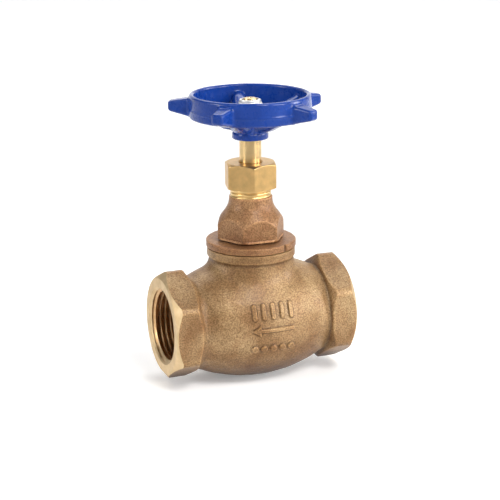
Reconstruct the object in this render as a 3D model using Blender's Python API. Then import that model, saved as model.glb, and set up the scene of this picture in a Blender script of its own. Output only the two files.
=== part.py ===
"""Globe valve for a one-inch pipe: screwed bronze body and bonnet, rising stem, five-lobed handwheel.

Frame: origin where the pipe axis (X) crosses the stem axis (Z), +Z up, metres.
The outlet is at -X and the inlet at +X. The valve stands fully open.
All sizes below are in millimetres and are turned into metres when a mesh is made.
Touching pieces keep GAP between them.
"""
import math

import bmesh
import bpy
from mathutils import Matrix, Vector

MM = 0.001
GAP = 0.3
ROUND = 40              # facets of a large round surface
SMALL_ROUND = 24        # facets of a small round surface
WHEEL_ROUND = 60        # facets of the wheel's rim

# Body: pipe ends and belly
BODY_LENGTH = 84.5
HEX_FLATS = 42.0
HEX_LENGTH = 12.0
HEX_FACE_RADIUS = 21.65         # where the 30 degree chamfer meets the end face
BELLY_RADIUS = 26.8
BELLY_ARC = 66.0                # radius of the barrel's long arc
NECK_RADIUS = 18.6
COLLAR_RADIUS = 19.4
COLLAR_BOTTOM = 28.2
COLLAR_TOP = 32.05

# Port thread, G 1
PORT_PITCH = 2.309
PORT_MINOR = 15.15
PORT_MAJOR = 16.62
PORT_DEPTH = 16.0
PORT_MOUTH = 17.9

# Flow passages and seat
TUNNEL_RADIUS = 12.5
OUTLET_TUNNEL_END = 14.5
INLET_TUNNEL_END = 19.6
CHAMBER_RADIUS = 16.2
CHAMBER_FLOOR = 1.7
SEAT_TOP = 2.7
SEAT_BORE = 11.0
SEAT_OUTER = 12.6
LOWER_CHAMBER_RADIUS = 11.5
LOWER_CHAMBER_TOP = -1.5
LOWER_CHAMBER_FLOOR = -21.0

# Bonnet
FLANGE_RADIUS = 19.78
FLANGE_BOTTOM = COLLAR_TOP + GAP
FLANGE_TOP = 35.6
SKIRT_BOTTOM = 22.0
SKIRT_INNER = 13.0
BONNET_HEX_FLATS = 26.5
BONNET_HEX_BOTTOM = 36.2
BONNET_WAIST_RADIUS = 12.9      # recess under the hexagon
BONNET_TUBE_RADIUS = 9.2
BONNET_HEX_CORNER = -3.6        # degrees about +Z
BELL_TOP = 54.8
NECK_THREAD_RADIUS = 9.0
NECK_THREAD_TOP = 65.0
STEM_NUT_BOTTOM = 31.0
STEM_NUT_TOP = 40.0
BACK_SEAT = 49.0
STUFFING_FLOOR = 51.0
STUFFING_RADIUS = 7.3

# Gasket in the collar's counterbore
GASKET_SEAT = 30.9
GASKET_SEAT_RADIUS = 18.4

# Stem and its trapezoidal thread
STEM_RADIUS = 4.8
STEM_HOLE = STEM_RADIUS + GAP
STEM_PITCH = 3.0
STEM_CREST = 6.5
STEM_ROOT = 4.9
STEM_THREAD_BOTTOM = 30.0
STEM_THREAD_TOP = 48.5
STEM_NECK = 5.0
BUTTON_RADIUS = 8.2
BUTTON_BOTTOM = 18.4
BUTTON_TOP = 21.2
STEM_SHOULDER = 81.2
SQUARE_FLATS = 6.6
SQUARE_TOP = 90.2
TIP_RADIUS = 2.9
TIP_TOP = 97.8
FLANK_SLOPE = math.tan(math.radians(15.0))
THREAD_FACETS = 16
PORT_THREAD_FACETS = 20

# Gland
GLAND_FLATS = 21.0
GLAND_BOTTOM = 58.6
GLAND_TOP = 69.8
GLAND_CORNER = 16.2             # degrees about +Z
GLAND_FOOT_RADIUS = 11.3
GLAND_FACE_RADIUS = 10.4
GLAND_CEILING = 66.8
FOLLOWER_RADIUS = 8.7
PACKING_RINGS = 4
PACKING_INNER = STEM_HOLE
PACKING_OUTER = STUFFING_RADIUS - GAP
PACKING_TOP = 61.2
WASHER_HEIGHT = 1.0

# Disc assembly
HOLDER_TOP = 25.5
HOLDER_RADIUS = 12.0
HOLDER_RIM_RADIUS = 14.5
HOLDER_RIM_BOTTOM = 12.5
HOLDER_RIM_TOP = 16.0
HOLDER_CUP_RADIUS = 10.3
HOLDER_CUP_FLOOR = 18.0
STUD_RADIUS = 3.9
STUD_BOTTOM = 5.5
DISC_RADIUS = 13.0
DISC_BOTTOM = 11.25
DISC_TOP = 14.75
DISC_NUT_FLATS = 10.0
DISC_NUT_BOTTOM = 6.0
DISC_NUT_TOP = 9.45
DISC_NUT_FACE_RADIUS = 4.9
DISC_WASHER_RADIUS = 6.0
LOCK_SLOT_WIDTH = 2.4
LOCK_SLOT_DEPTH = 1.4

# Handwheel
LOBES = 5
FIRST_LOBE = -62.6              # degrees about +Z
LOBE_TIP = 35.5
LOBE_ROOT_HEIGHT = 93.7         # height of a lobe's middle at the rim
LOBE_TIP_HEIGHT = 94.3
RIM_INNER = 24.25
RIM_OUTER = 26.7
RIM_BOTTOM = 89.5
RIM_TOP = 99.8
HUB_RADIUS = 7.2
HUB_COLLAR_RADIUS = 7.9
HUB_BOTTOM = 80.2
HUB_COLLAR_TOP = 82.8
HUB_TOP = 90.6
ARM_WIDTH = 6.6

# Wheel nut
WHEEL_NUT_FLATS = 10.0
WHEEL_NUT_BOTTOM = 92.2
WHEEL_NUT_HEX_TOP = 96.0
WHEEL_NUT_TOP = 97.3
WHEEL_NUT_BORE = TIP_RADIUS + GAP
WHEEL_NUT_FACE_RADIUS = 5.0
WHEEL_NUT_COLLAR_RADIUS = 4.75
WHEEL_NUT_CORNER = FIRST_LOBE + 20
WHEEL_WASHER_RADIUS = 6.2
INSERT_POCKET_RADIUS = 4.15
INSERT_POCKET_BOTTOM = 95.6
INSERT_POCKET_TOP = WHEEL_NUT_TOP - 0.4

BRONZE = ("cast_bronze", (0.46, 0.28, 0.14), 0.5, 0.9)
BRASS = ("brass", (0.72, 0.50, 0.20), 0.28, 1.0)
BLUE = ("blue_enamel", (0.01, 0.035, 0.25), 0.15, 0.0)
STEEL = ("zinc_steel", (0.62, 0.61, 0.57), 0.3, 1.0)
FIBRE = ("gasket_fibre", (0.08, 0.09, 0.08), 0.85, 0.0)
PACKING = ("packing", (0.62, 0.60, 0.55), 0.7, 0.0)
PTFE = ("ptfe", (0.82, 0.82, 0.80), 0.45, 0.0)
NYLON = ("nylon", (0.10, 0.09, 0.08), 0.5, 0.0)


def clear_scene():
    for obj in list(bpy.data.objects):
        bpy.data.objects.remove(obj)


def object_from(bm, name):
    bmesh.ops.recalc_face_normals(bm, faces=bm.faces)
    mesh = bpy.data.meshes.new(name)
    bm.to_mesh(mesh)
    bm.free()
    obj = bpy.data.objects.new(name, mesh)
    bpy.context.scene.collection.objects.link(obj)
    return obj


def turn_to_x(bm):
    """Lay a solid made about Z along +X."""
    bmesh.ops.rotate(bm, verts=bm.verts, matrix=Matrix.Rotation(math.radians(90), 3, "Y"))


def circle_point(radius, angle, height):
    return Vector((radius * math.cos(angle), radius * math.sin(angle), height)) * MM


def bridge(bm, first, second):
    """Faces between two neighbouring rings, either of which may be a single point on the axis."""
    count = max(len(first), len(second))
    for k in range(count):
        n = (k + 1) % count
        if len(first) == 1:
            bm.faces.new((first[0], second[k], second[n]))
        elif len(second) == 1:
            bm.faces.new((first[k], first[n], second[0]))
        else:
            bm.faces.new((first[k], first[n], second[n], second[k]))


def revolve(name, outline, facets=ROUND, along_x=False):
    """Turn (radius, height) points about the axis: a ring where no point lies on it, else a solid."""
    bm = bmesh.new()
    rings = []
    for radius, height in outline:
        count = facets if radius > 0 else 1
        angles = [math.tau * (k + 0.5) / facets for k in range(count)]
        rings.append([bm.verts.new(circle_point(radius, a, height)) for a in angles])
    for first, second in zip(rings, rings[1:]):
        bridge(bm, first, second)
    if outline[0][0] > 0:
        bridge(bm, rings[-1], rings[0])
    if along_x:
        turn_to_x(bm)
    return object_from(bm, name)


def ring(name, inner, outer, bottom, top, facets=SMALL_ROUND):
    return revolve(name, [(inner, bottom), (outer, bottom), (outer, top), (inner, top)], facets)


def prism(name, outline, bottom, top, along_x=False):
    """Extrude an outline of (x, y) points from bottom to top."""
    bm = bmesh.new()
    lower = [bm.verts.new(Vector((x, y, bottom)) * MM) for x, y in outline]
    upper = [bm.verts.new(Vector((x, y, top)) * MM) for x, y in outline]
    bm.faces.new(lower)
    bm.faces.new(upper)
    bridge(bm, lower, upper)
    if along_x:
        turn_to_x(bm)
    return object_from(bm, name)


def polygon(sides, flats, corner_degrees):
    """Corners of a regular polygon of the given width across flats."""
    corner_radius = flats / 2 / math.cos(math.pi / sides)
    angles = [math.radians(corner_degrees) + math.tau * k / sides for k in range(sides)]
    return [(corner_radius * math.cos(a), corner_radius * math.sin(a)) for a in angles]


def weld(mesh):
    """Merge points closer than a thousandth of a millimetre, which a Boolean can leave."""
    bm = bmesh.new()
    bm.from_mesh(mesh)
    bmesh.ops.remove_doubles(bm, verts=bm.verts, dist=0.001 * MM)
    bmesh.ops.dissolve_degenerate(bm, edges=bm.edges, dist=0.001 * MM)
    bm.to_mesh(mesh)
    bm.free()


def combine(target, other, operation):
    """Apply one Boolean to target and delete the other object."""
    modifier = target.modifiers.new("combine", "BOOLEAN")
    modifier.operation = operation
    modifier.solver = "EXACT"
    modifier.object = other
    bpy.context.view_layer.update()
    evaluated = target.evaluated_get(bpy.context.evaluated_depsgraph_get())
    result = bpy.data.meshes.new_from_object(evaluated)
    target.modifiers.clear()
    target.data = result
    weld(result)
    bpy.data.objects.remove(other)


def join(target, *others):
    for other in others:
        combine(target, other, "UNION")


def cut(target, *others):
    for other in others:
        combine(target, other, "DIFFERENCE")


def thread(name, tooth, pitch, bottom, top, facets, along_x=False):
    """A right-hand screw whose tooth is a list of (radius, offset from the tooth's middle).

    Its tooth is centred on a whole number of pitches at angle 0, so screws of one pitch mesh.
    The ends are closed by cones to the axis, outside bottom and top, and are trimmed afterwards.
    """
    bm = bmesh.new()
    start = (math.floor(bottom / pitch) - 2) * pitch
    turns = math.ceil((top - start) / pitch) + 2
    steps = turns * facets
    last = len(tooth) - 1

    def point(step, index):
        radius, offset = tooth[index]
        height = start + pitch * step / facets + offset
        return bm.verts.new(circle_point(radius, math.tau * step / facets, height))

    grid = [[point(step, index) for index in range(last + 1)] for step in range(steps + 1)]
    for step in range(steps):
        for index in range(last):
            bm.faces.new((grid[step][index], grid[step + 1][index],
                          grid[step + 1][index + 1], grid[step][index + 1]))
    for step in range(steps - facets):
        bm.faces.new((grid[step][last], grid[step + 1][last],
                      grid[step + facets + 1][0], grid[step + facets][0]))
    low_tip = bm.verts.new(Vector((0, 0, start - pitch)) * MM)
    high_tip = bm.verts.new(Vector((0, 0, start + (turns + 1) * pitch)) * MM)
    for step in range(facets):
        high = steps - facets + step
        bm.faces.new((low_tip, grid[step][0], grid[step + 1][0]))
        bm.faces.new((high_tip, grid[high][last], grid[high + 1][last]))
    bm.faces.new([low_tip] + grid[0] + [grid[facets][0]])
    bm.faces.new([high_tip] + grid[steps][::-1] + [grid[steps - facets][last]])
    if along_x:
        turn_to_x(bm)
    return object_from(bm, name)


def trapezoid_tooth(root, crest, clearance):
    """Tooth of the stem's screw, or of the cutter for its nut when there is a clearance."""
    middle = (STEM_CREST + STEM_ROOT) / 2
    half_width = STEM_PITCH / 4 + clearance
    at_root = half_width + (middle - root) * FLANK_SLOPE
    at_crest = half_width - (crest - middle) * FLANK_SLOPE
    return [(root, -at_root), (crest, -at_crest), (crest, at_crest), (root, at_root)]


def chamfered_hex(name, flats, bottom, top, corner, low_radius, high_radius, facets, along_x=False):
    """Hexagon whose corners are turned off at 30 degrees; the end faces become circles."""
    slope = math.tan(math.radians(30))
    corner_radius = flats / math.sqrt(3) + GAP
    low_cut = max(corner_radius - low_radius, 0) * slope
    high_cut = max(corner_radius - high_radius, 0) * slope
    outline = [(0, bottom), (corner_radius - low_cut / slope, bottom), (corner_radius, bottom + low_cut),
               (corner_radius, top - high_cut), (corner_radius - high_cut / slope, top), (0, top)]
    solid = prism(name, polygon(6, flats, corner), bottom - 1, top + 1, along_x)
    combine(solid, revolve("turned", outline, facets, along_x), "INTERSECT")
    return solid


def make_material(finish):
    name, colour, roughness, metallic = finish
    material = bpy.data.materials.new(name)
    material.use_nodes = True
    shader = material.node_tree.nodes["Principled BSDF"]
    shader.inputs["Base Color"].default_value = (*colour, 1.0)
    shader.inputs["Roughness"].default_value = roughness
    shader.inputs["Metallic"].default_value = metallic
    return material


def finish_piece(obj, finish):
    """Shade round faces smooth and give the piece its own material."""
    obj.data.shade_smooth()
    obj.data.set_sharp_from_angle(angle=math.radians(32))
    obj.data.materials.clear()
    obj.data.materials.append(make_material(finish))
    return obj


def belly_outline():
    """Barrel outline along X, sunk into both hexagons."""
    reach = BODY_LENGTH / 2 - HEX_LENGTH + 1
    steps = 8
    outline = [(0, -reach)]
    for k in range(steps + 1):
        x = reach * (2 * k / steps - 1)
        drop = BELLY_ARC - math.sqrt(BELLY_ARC ** 2 - x ** 2)
        outline.append((BELLY_RADIUS - drop, x))
    outline.append((0, reach))
    return outline


def hex_end(side):
    """One pipe end; side is -1 for the outlet and 1 for the inlet."""
    face = BODY_LENGTH / 2
    low, high = sorted((side * face, side * (face - HEX_LENGTH)))
    uncut = HEX_FLATS
    radii = (HEX_FACE_RADIUS, uncut) if side < 0 else (uncut, HEX_FACE_RADIUS)
    return chamfered_hex("hex_end", HEX_FLATS, low, high, 0, *radii, ROUND, along_x=True)


def passage(side, tunnel_end):
    """Way into one port: tunnel, core inside the thread and countersunk mouth."""
    face = BODY_LENGTH / 2
    over = 0.5
    core = PORT_MINOR - over
    core_end = face - PORT_DEPTH + over
    outline = [(0, tunnel_end), (TUNNEL_RADIUS, tunnel_end), (TUNNEL_RADIUS, core_end),
               (core, core_end), (core, face - (PORT_MOUTH - core)),
               (PORT_MOUTH + over, face + over), (0, face + over)]
    return revolve("passage", [(radius, side * x) for radius, x in outline], ROUND, along_x=True)


def port_thread(side):
    """Cutter for one port's pipe thread."""
    face = BODY_LENGTH / 2
    low, high = sorted((side * (face - PORT_DEPTH), side * (face + 1)))
    tooth = [(PORT_MINOR, -PORT_PITCH / 2), (PORT_MAJOR, 0)]
    screw = thread("port_thread", tooth, PORT_PITCH, low, high, PORT_THREAD_FACETS, along_x=True)
    limit = revolve("limit", [(0, low), (PORT_MAJOR + 1, low), (PORT_MAJOR + 1, high), (0, high)],
                    SMALL_ROUND, along_x=True)
    combine(screw, limit, "INTERSECT")
    return screw


def under_seat_passage():
    """D-shaped way from the inlet tunnel into the lower chamber."""
    chord = math.acos(LOWER_CHAMBER_TOP / -TUNNEL_RADIUS)
    steps = 12
    angles = [chord * (2 * k / steps - 1) for k in range(steps + 1)]
    outline = [(TUNNEL_RADIUS * math.cos(a), TUNNEL_RADIUS * math.sin(a)) for a in angles]
    return prism("under_seat", outline, 0, INLET_TUNNEL_END + GAP, along_x=True)


def chambers():
    """Upper chamber, seat bore and lower chamber, with the collar's counterbore."""
    return revolve("chambers", [
        (0, LOWER_CHAMBER_FLOOR), (LOWER_CHAMBER_RADIUS - 2, LOWER_CHAMBER_FLOOR),
        (LOWER_CHAMBER_RADIUS, LOWER_CHAMBER_FLOOR + 2), (LOWER_CHAMBER_RADIUS, LOWER_CHAMBER_TOP),
        (SEAT_BORE, LOWER_CHAMBER_TOP + 0.5), (SEAT_BORE, SEAT_TOP), (SEAT_OUTER, SEAT_TOP),
        (SEAT_OUTER, CHAMBER_FLOOR), (CHAMBER_RADIUS, CHAMBER_FLOOR), (CHAMBER_RADIUS, GASKET_SEAT),
        (GASKET_SEAT_RADIUS, GASKET_SEAT), (GASKET_SEAT_RADIUS, COLLAR_TOP + 1), (0, COLLAR_TOP + 1)])


def make_body():
    body = revolve("body", belly_outline(), ROUND, along_x=True)
    neck = revolve("neck", [(0, 4), (NECK_RADIUS, 4), (NECK_RADIUS, COLLAR_BOTTOM - 0.2),
                            (COLLAR_RADIUS, COLLAR_BOTTOM + 0.2), (COLLAR_RADIUS, COLLAR_TOP),
                            (0, COLLAR_TOP)])
    join(body, neck, hex_end(-1), hex_end(1))
    cut(body, chambers(), passage(-1, OUTLET_TUNNEL_END), passage(1, INLET_TUNNEL_END),
        under_seat_passage(), port_thread(-1), port_thread(1))
    return finish_piece(body, BRONZE)


def bell():
    """Bell-shaped top of the bonnet, which cuts arches into the hexagon's flats."""
    return revolve("bell", [
        (0, BONNET_HEX_BOTTOM), (16, BONNET_HEX_BOTTOM), (15.8, 41.4), (14.6, 43.7), (13.25, 46.0),
        (11.9, 47.8), (10.7, 49.3), (9.9, 51.0), (9.45, 53.0), (9.3, BELL_TOP), (0, BELL_TOP)])


def bonnet_bore():
    """Disc chamber, core inside the nut's thread, relief, back seat and stuffing box."""
    core = STEM_ROOT - GAP
    relief = STEM_CREST + 0.4
    roof = 2.0
    return revolve("bonnet_bore", [
        (0, SKIRT_BOTTOM - 1), (SKIRT_INNER, SKIRT_BOTTOM - 1), (SKIRT_INNER, STEM_NUT_BOTTOM - roof),
        (SKIRT_INNER - roof, STEM_NUT_BOTTOM), (core, STEM_NUT_BOTTOM), (core, STEM_NUT_TOP),
        (relief, STEM_NUT_TOP), (relief, BACK_SEAT), (STEM_HOLE, BACK_SEAT), (STEM_HOLE, STUFFING_FLOOR),
        (STUFFING_RADIUS, STUFFING_FLOOR), (STUFFING_RADIUS, NECK_THREAD_TOP + 1),
        (0, NECK_THREAD_TOP + 1)])


def stem_nut_thread():
    """Cutter for the bonnet's screw, which the stem climbs."""
    clearance = 0.25
    tooth = trapezoid_tooth(STEM_ROOT + clearance, STEM_CREST + clearance, GAP / 2)
    screw = thread("stem_nut", tooth, STEM_PITCH, STEM_NUT_BOTTOM, STEM_NUT_TOP, THREAD_FACETS)
    reach = STEM_CREST + 2
    limit = revolve("limit", [(0, STEM_NUT_BOTTOM - 0.5), (reach, STEM_NUT_BOTTOM - 0.5),
                              (reach, STEM_NUT_TOP + 0.5), (0, STEM_NUT_TOP + 0.5)], SMALL_ROUND)
    combine(screw, limit, "INTERSECT")
    return screw


def make_bonnet():
    edge = 0.4
    bonnet = revolve("bonnet", [
        (0, SKIRT_BOTTOM), (CHAMBER_RADIUS - GAP, SKIRT_BOTTOM), (CHAMBER_RADIUS - GAP, FLANGE_BOTTOM),
        (FLANGE_RADIUS, FLANGE_BOTTOM), (FLANGE_RADIUS, FLANGE_TOP - edge),
        (FLANGE_RADIUS - edge, FLANGE_TOP), (BONNET_WAIST_RADIUS, FLANGE_TOP),
        (BONNET_WAIST_RADIUS, BONNET_HEX_BOTTOM + edge), (BONNET_TUBE_RADIUS, BONNET_HEX_BOTTOM + edge),
        (BONNET_TUBE_RADIUS, BELL_TOP - 1), (NECK_THREAD_RADIUS, BELL_TOP - 1),
        (NECK_THREAD_RADIUS, NECK_THREAD_TOP), (0, NECK_THREAD_TOP)])
    hexagon = prism("hexagon", polygon(6, BONNET_HEX_FLATS, BONNET_HEX_CORNER),
                    BONNET_HEX_BOTTOM, BELL_TOP)
    combine(hexagon, bell(), "INTERSECT")
    join(bonnet, hexagon)
    cut(bonnet, bonnet_bore(), stem_nut_thread())
    return finish_piece(bonnet, BRONZE)


def make_gasket():
    gasket = ring("bonnet_gasket", CHAMBER_RADIUS + GAP, GASKET_SEAT_RADIUS - GAP,
                  GASKET_SEAT + GAP, COLLAR_TOP, ROUND)
    return finish_piece(gasket, FIBRE)


def stem_thread():
    screw = thread("stem_thread", trapezoid_tooth(STEM_ROOT, STEM_CREST, 0), STEM_PITCH,
                   STEM_THREAD_BOTTOM, STEM_THREAD_TOP, THREAD_FACETS)
    ends = STEM_CREST - STEM_ROOT + 0.1
    limit = revolve("limit", [
        (0, STEM_THREAD_BOTTOM), (STEM_ROOT, STEM_THREAD_BOTTOM),
        (STEM_ROOT + ends, STEM_THREAD_BOTTOM + ends), (STEM_ROOT + ends, STEM_THREAD_TOP - ends),
        (STEM_ROOT, STEM_THREAD_TOP), (0, STEM_THREAD_TOP)], SMALL_ROUND)
    combine(screw, limit, "INTERSECT")
    return screw


def make_stem():
    edge = 0.5
    stem = revolve("stem", [
        (0, BUTTON_BOTTOM), (BUTTON_RADIUS - edge, BUTTON_BOTTOM), (BUTTON_RADIUS, BUTTON_BOTTOM + edge),
        (BUTTON_RADIUS, BUTTON_TOP - edge), (BUTTON_RADIUS - edge, BUTTON_TOP), (STEM_NECK, BUTTON_TOP),
        (STEM_NECK, STEM_THREAD_BOTTOM + edge), (STEM_RADIUS - edge, STEM_THREAD_BOTTOM + 2 * edge),
        (STEM_RADIUS - edge, STEM_THREAD_TOP - 3), (STEM_RADIUS, STEM_THREAD_TOP - 2.5),
        (STEM_RADIUS, STEM_SHOULDER - edge), (STEM_RADIUS - edge, STEM_SHOULDER),
        (TIP_RADIUS, STEM_SHOULDER), (TIP_RADIUS, TIP_TOP - edge), (TIP_RADIUS - edge, TIP_TOP),
        (0, TIP_TOP)], SMALL_ROUND)
    square = prism("square", polygon(4, SQUARE_FLATS, FIRST_LOBE), STEM_SHOULDER - 2, SQUARE_TOP)
    join(stem, stem_thread(), square)
    return finish_piece(stem, BRASS)


def make_gland():
    """Gland nut and the follower that it presses onto the packing."""
    nut = chamfered_hex("gland_nut", GLAND_FLATS, GLAND_BOTTOM, GLAND_TOP, GLAND_CORNER,
                        GLAND_FOOT_RADIUS, GLAND_FACE_RADIUS, ROUND)
    bore = NECK_THREAD_RADIUS + GAP
    cut(nut, revolve("bore", [
        (0, GLAND_BOTTOM - 1), (bore, GLAND_BOTTOM - 1), (bore, GLAND_CEILING), (STEM_HOLE, GLAND_CEILING),
        (STEM_HOLE, GLAND_TOP + 1), (0, GLAND_TOP + 1)], SMALL_ROUND))
    finish_piece(nut, BRASS)
    flange_bottom = NECK_THREAD_TOP + GAP
    follower = revolve("gland_follower", [
        (STEM_HOLE, PACKING_TOP + GAP), (PACKING_OUTER, PACKING_TOP + GAP),
        (PACKING_OUTER, flange_bottom), (FOLLOWER_RADIUS, flange_bottom),
        (FOLLOWER_RADIUS, GLAND_CEILING - GAP), (STEM_HOLE, GLAND_CEILING - GAP)], SMALL_ROUND)
    finish_piece(follower, BRASS)


def make_packing():
    """Washer on the stuffing box floor and the packing rings above it."""
    bottom = STUFFING_FLOOR + GAP
    washer = ring("packing_washer", PACKING_INNER, PACKING_OUTER, bottom, bottom + WASHER_HEIGHT)
    finish_piece(washer, BRASS)
    stack_bottom = bottom + WASHER_HEIGHT + GAP
    spacing = (PACKING_TOP - stack_bottom + GAP) / PACKING_RINGS
    for k in range(PACKING_RINGS):
        low = stack_bottom + k * spacing
        piece = ring(f"packing_ring_{k + 1}", PACKING_INNER, PACKING_OUTER, low, low + spacing - GAP)
        finish_piece(piece, PACKING)


def make_disc_holder():
    recess = DISC_RADIUS + GAP
    holder = revolve("disc_holder", [
        (0, STUD_BOTTOM), (STUD_RADIUS - 0.5, STUD_BOTTOM), (STUD_RADIUS, STUD_BOTTOM + 0.5),
        (STUD_RADIUS, DISC_TOP + GAP), (recess, DISC_TOP + GAP), (recess, HOLDER_RIM_BOTTOM),
        (HOLDER_RIM_RADIUS, HOLDER_RIM_BOTTOM), (HOLDER_RIM_RADIUS, HOLDER_RIM_TOP),
        (HOLDER_RADIUS, HOLDER_RIM_TOP + 1), (HOLDER_RADIUS, HOLDER_TOP),
        (HOLDER_CUP_RADIUS, HOLDER_TOP), (HOLDER_CUP_RADIUS, HOLDER_CUP_FLOOR), (0, HOLDER_CUP_FLOOR)])
    return finish_piece(holder, BRASS)


def make_disc_parts():
    """Soft seat disc with its washer and nut, and the nut that locks the stem's button in."""
    bore = STUD_RADIUS + GAP
    finish_piece(ring("seat_disc", bore, DISC_RADIUS, DISC_BOTTOM, DISC_TOP, ROUND), PTFE)
    washer_top = DISC_BOTTOM - GAP
    washer_bottom = DISC_NUT_TOP + GAP
    finish_piece(ring("disc_washer", bore, DISC_WASHER_RADIUS, washer_bottom, washer_top), BRASS)
    nut = chamfered_hex("disc_nut", DISC_NUT_FLATS, DISC_NUT_BOTTOM, DISC_NUT_TOP, 0,
                        DISC_NUT_FACE_RADIUS, DISC_NUT_FACE_RADIUS, SMALL_ROUND)
    below, above = DISC_NUT_BOTTOM - 1, DISC_NUT_TOP + 1
    cut(nut, revolve("bore", [(0, below), (bore, below), (bore, above), (0, above)], SMALL_ROUND))
    finish_piece(nut, BRASS)
    lock = ring("lock_nut", STEM_CREST + 0.4, HOLDER_CUP_RADIUS - GAP, BUTTON_TOP + 0.4, HOLDER_TOP)
    reach, half = HOLDER_CUP_RADIUS + 1, LOCK_SLOT_WIDTH / 2
    cut(lock, prism("slot", [(-reach, -half), (reach, -half), (reach, half), (-reach, half)],
                    HOLDER_TOP - LOCK_SLOT_DEPTH, HOLDER_TOP + 1))
    finish_piece(lock, BRASS)


def extrude_across(name, outline, width, degrees):
    """Upright plate: (radius, height) outline in the plane at the given angle, width across it."""
    bm = bmesh.new()
    sides = []
    for offset in (-width / 2, width / 2):
        sides.append([bm.verts.new(Vector((r, offset, z)) * MM) for r, z in outline])
    bm.faces.new(sides[0])
    bm.faces.new(sides[1])
    bridge(bm, sides[0], sides[1])
    bmesh.ops.rotate(bm, verts=bm.verts, matrix=Matrix.Rotation(math.radians(degrees), 3, "Z"))
    return object_from(bm, name)


def wheel_arm(degrees):
    outline = [(HUB_RADIUS - 1.5, HUB_COLLAR_TOP + 0.5), (HUB_RADIUS + 4.3, HUB_COLLAR_TOP + 1.7),
               (RIM_INNER - 4.5, RIM_BOTTOM - 0.6), (RIM_INNER + 0.8, RIM_BOTTOM + 1.2),
               (RIM_INNER + 0.8, RIM_TOP - 3), (RIM_INNER - 3.5, RIM_TOP - 4.5),
               (HUB_RADIUS + 3.5, HUB_TOP - 1.4), (HUB_RADIUS - 1.5, HUB_TOP - 1.1)]
    return extrude_across("arm", outline, ARM_WIDTH, degrees)


def wheel_lobe(degrees):
    """Grip on the rim, narrower and thinner towards its tip."""
    sections = [(RIM_INNER + 1.2, 3.6, 4.2), (RIM_OUTER + 2.0, 3.1, 3.4), (LOBE_TIP - 1.0, 2.5, 2.3),
                (LOBE_TIP, 1.7, 1.6)]
    rise = (LOBE_TIP_HEIGHT - LOBE_ROOT_HEIGHT) / (LOBE_TIP - RIM_INNER)
    bevel = 0.8
    bm = bmesh.new()
    rings = []
    for radius, half_width, half_height in sections:
        middle = LOBE_ROOT_HEIGHT + rise * (radius - RIM_INNER)
        corners = []
        for sy, sz in ((-1, -1), (1, -1), (1, 1), (-1, 1)):
            flat = (sy * half_width, sz * (half_height - bevel))
            tall = (sy * (half_width - bevel), sz * half_height)
            corners += [flat, tall] if sy == sz else [tall, flat]
        rings.append([bm.verts.new(Vector((radius, y, middle + z)) * MM) for y, z in corners])
    for first, second in zip(rings, rings[1:]):
        bridge(bm, first, second)
    bm.faces.new(rings[0])
    bm.faces.new(rings[-1])
    bmesh.ops.rotate(bm, verts=bm.verts, matrix=Matrix.Rotation(math.radians(degrees), 3, "Z"))
    return object_from(bm, "lobe")


def make_handwheel():
    lip = 0.8
    wheel = revolve("handwheel", [
        (RIM_INNER, RIM_BOTTOM + lip), (RIM_INNER + lip, RIM_BOTTOM), (RIM_OUTER - lip, RIM_BOTTOM),
        (RIM_OUTER, RIM_BOTTOM + lip), (RIM_OUTER, RIM_TOP - lip), (RIM_OUTER - lip, RIM_TOP),
        (RIM_INNER + lip, RIM_TOP), (RIM_INNER, RIM_TOP - lip)], WHEEL_ROUND)
    edge = 0.4
    hub = revolve("hub", [
        (0, HUB_BOTTOM), (HUB_COLLAR_RADIUS - edge, HUB_BOTTOM), (HUB_COLLAR_RADIUS, HUB_BOTTOM + edge),
        (HUB_COLLAR_RADIUS, HUB_COLLAR_TOP), (HUB_RADIUS, HUB_COLLAR_TOP + edge),
        (HUB_RADIUS, HUB_TOP - edge), (HUB_RADIUS - edge, HUB_TOP), (0, HUB_TOP)], SMALL_ROUND)
    angles = [FIRST_LOBE + 360 / LOBES * k for k in range(LOBES)]
    join(hub, *[wheel_arm(angle) for angle in angles])
    join(wheel, hub, *[wheel_lobe(angle) for angle in angles])
    below, above = HUB_BOTTOM - 1, HUB_TOP + 1
    square = prism("square", polygon(4, SQUARE_FLATS + 2 * GAP, FIRST_LOBE), below, above)
    seat = STEM_SHOULDER + GAP
    recess = revolve("recess", [(0, below), (STEM_HOLE, below), (STEM_HOLE, seat), (0, seat)], SMALL_ROUND)
    cut(wheel, recess, square)
    return finish_piece(wheel, BLUE)


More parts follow.
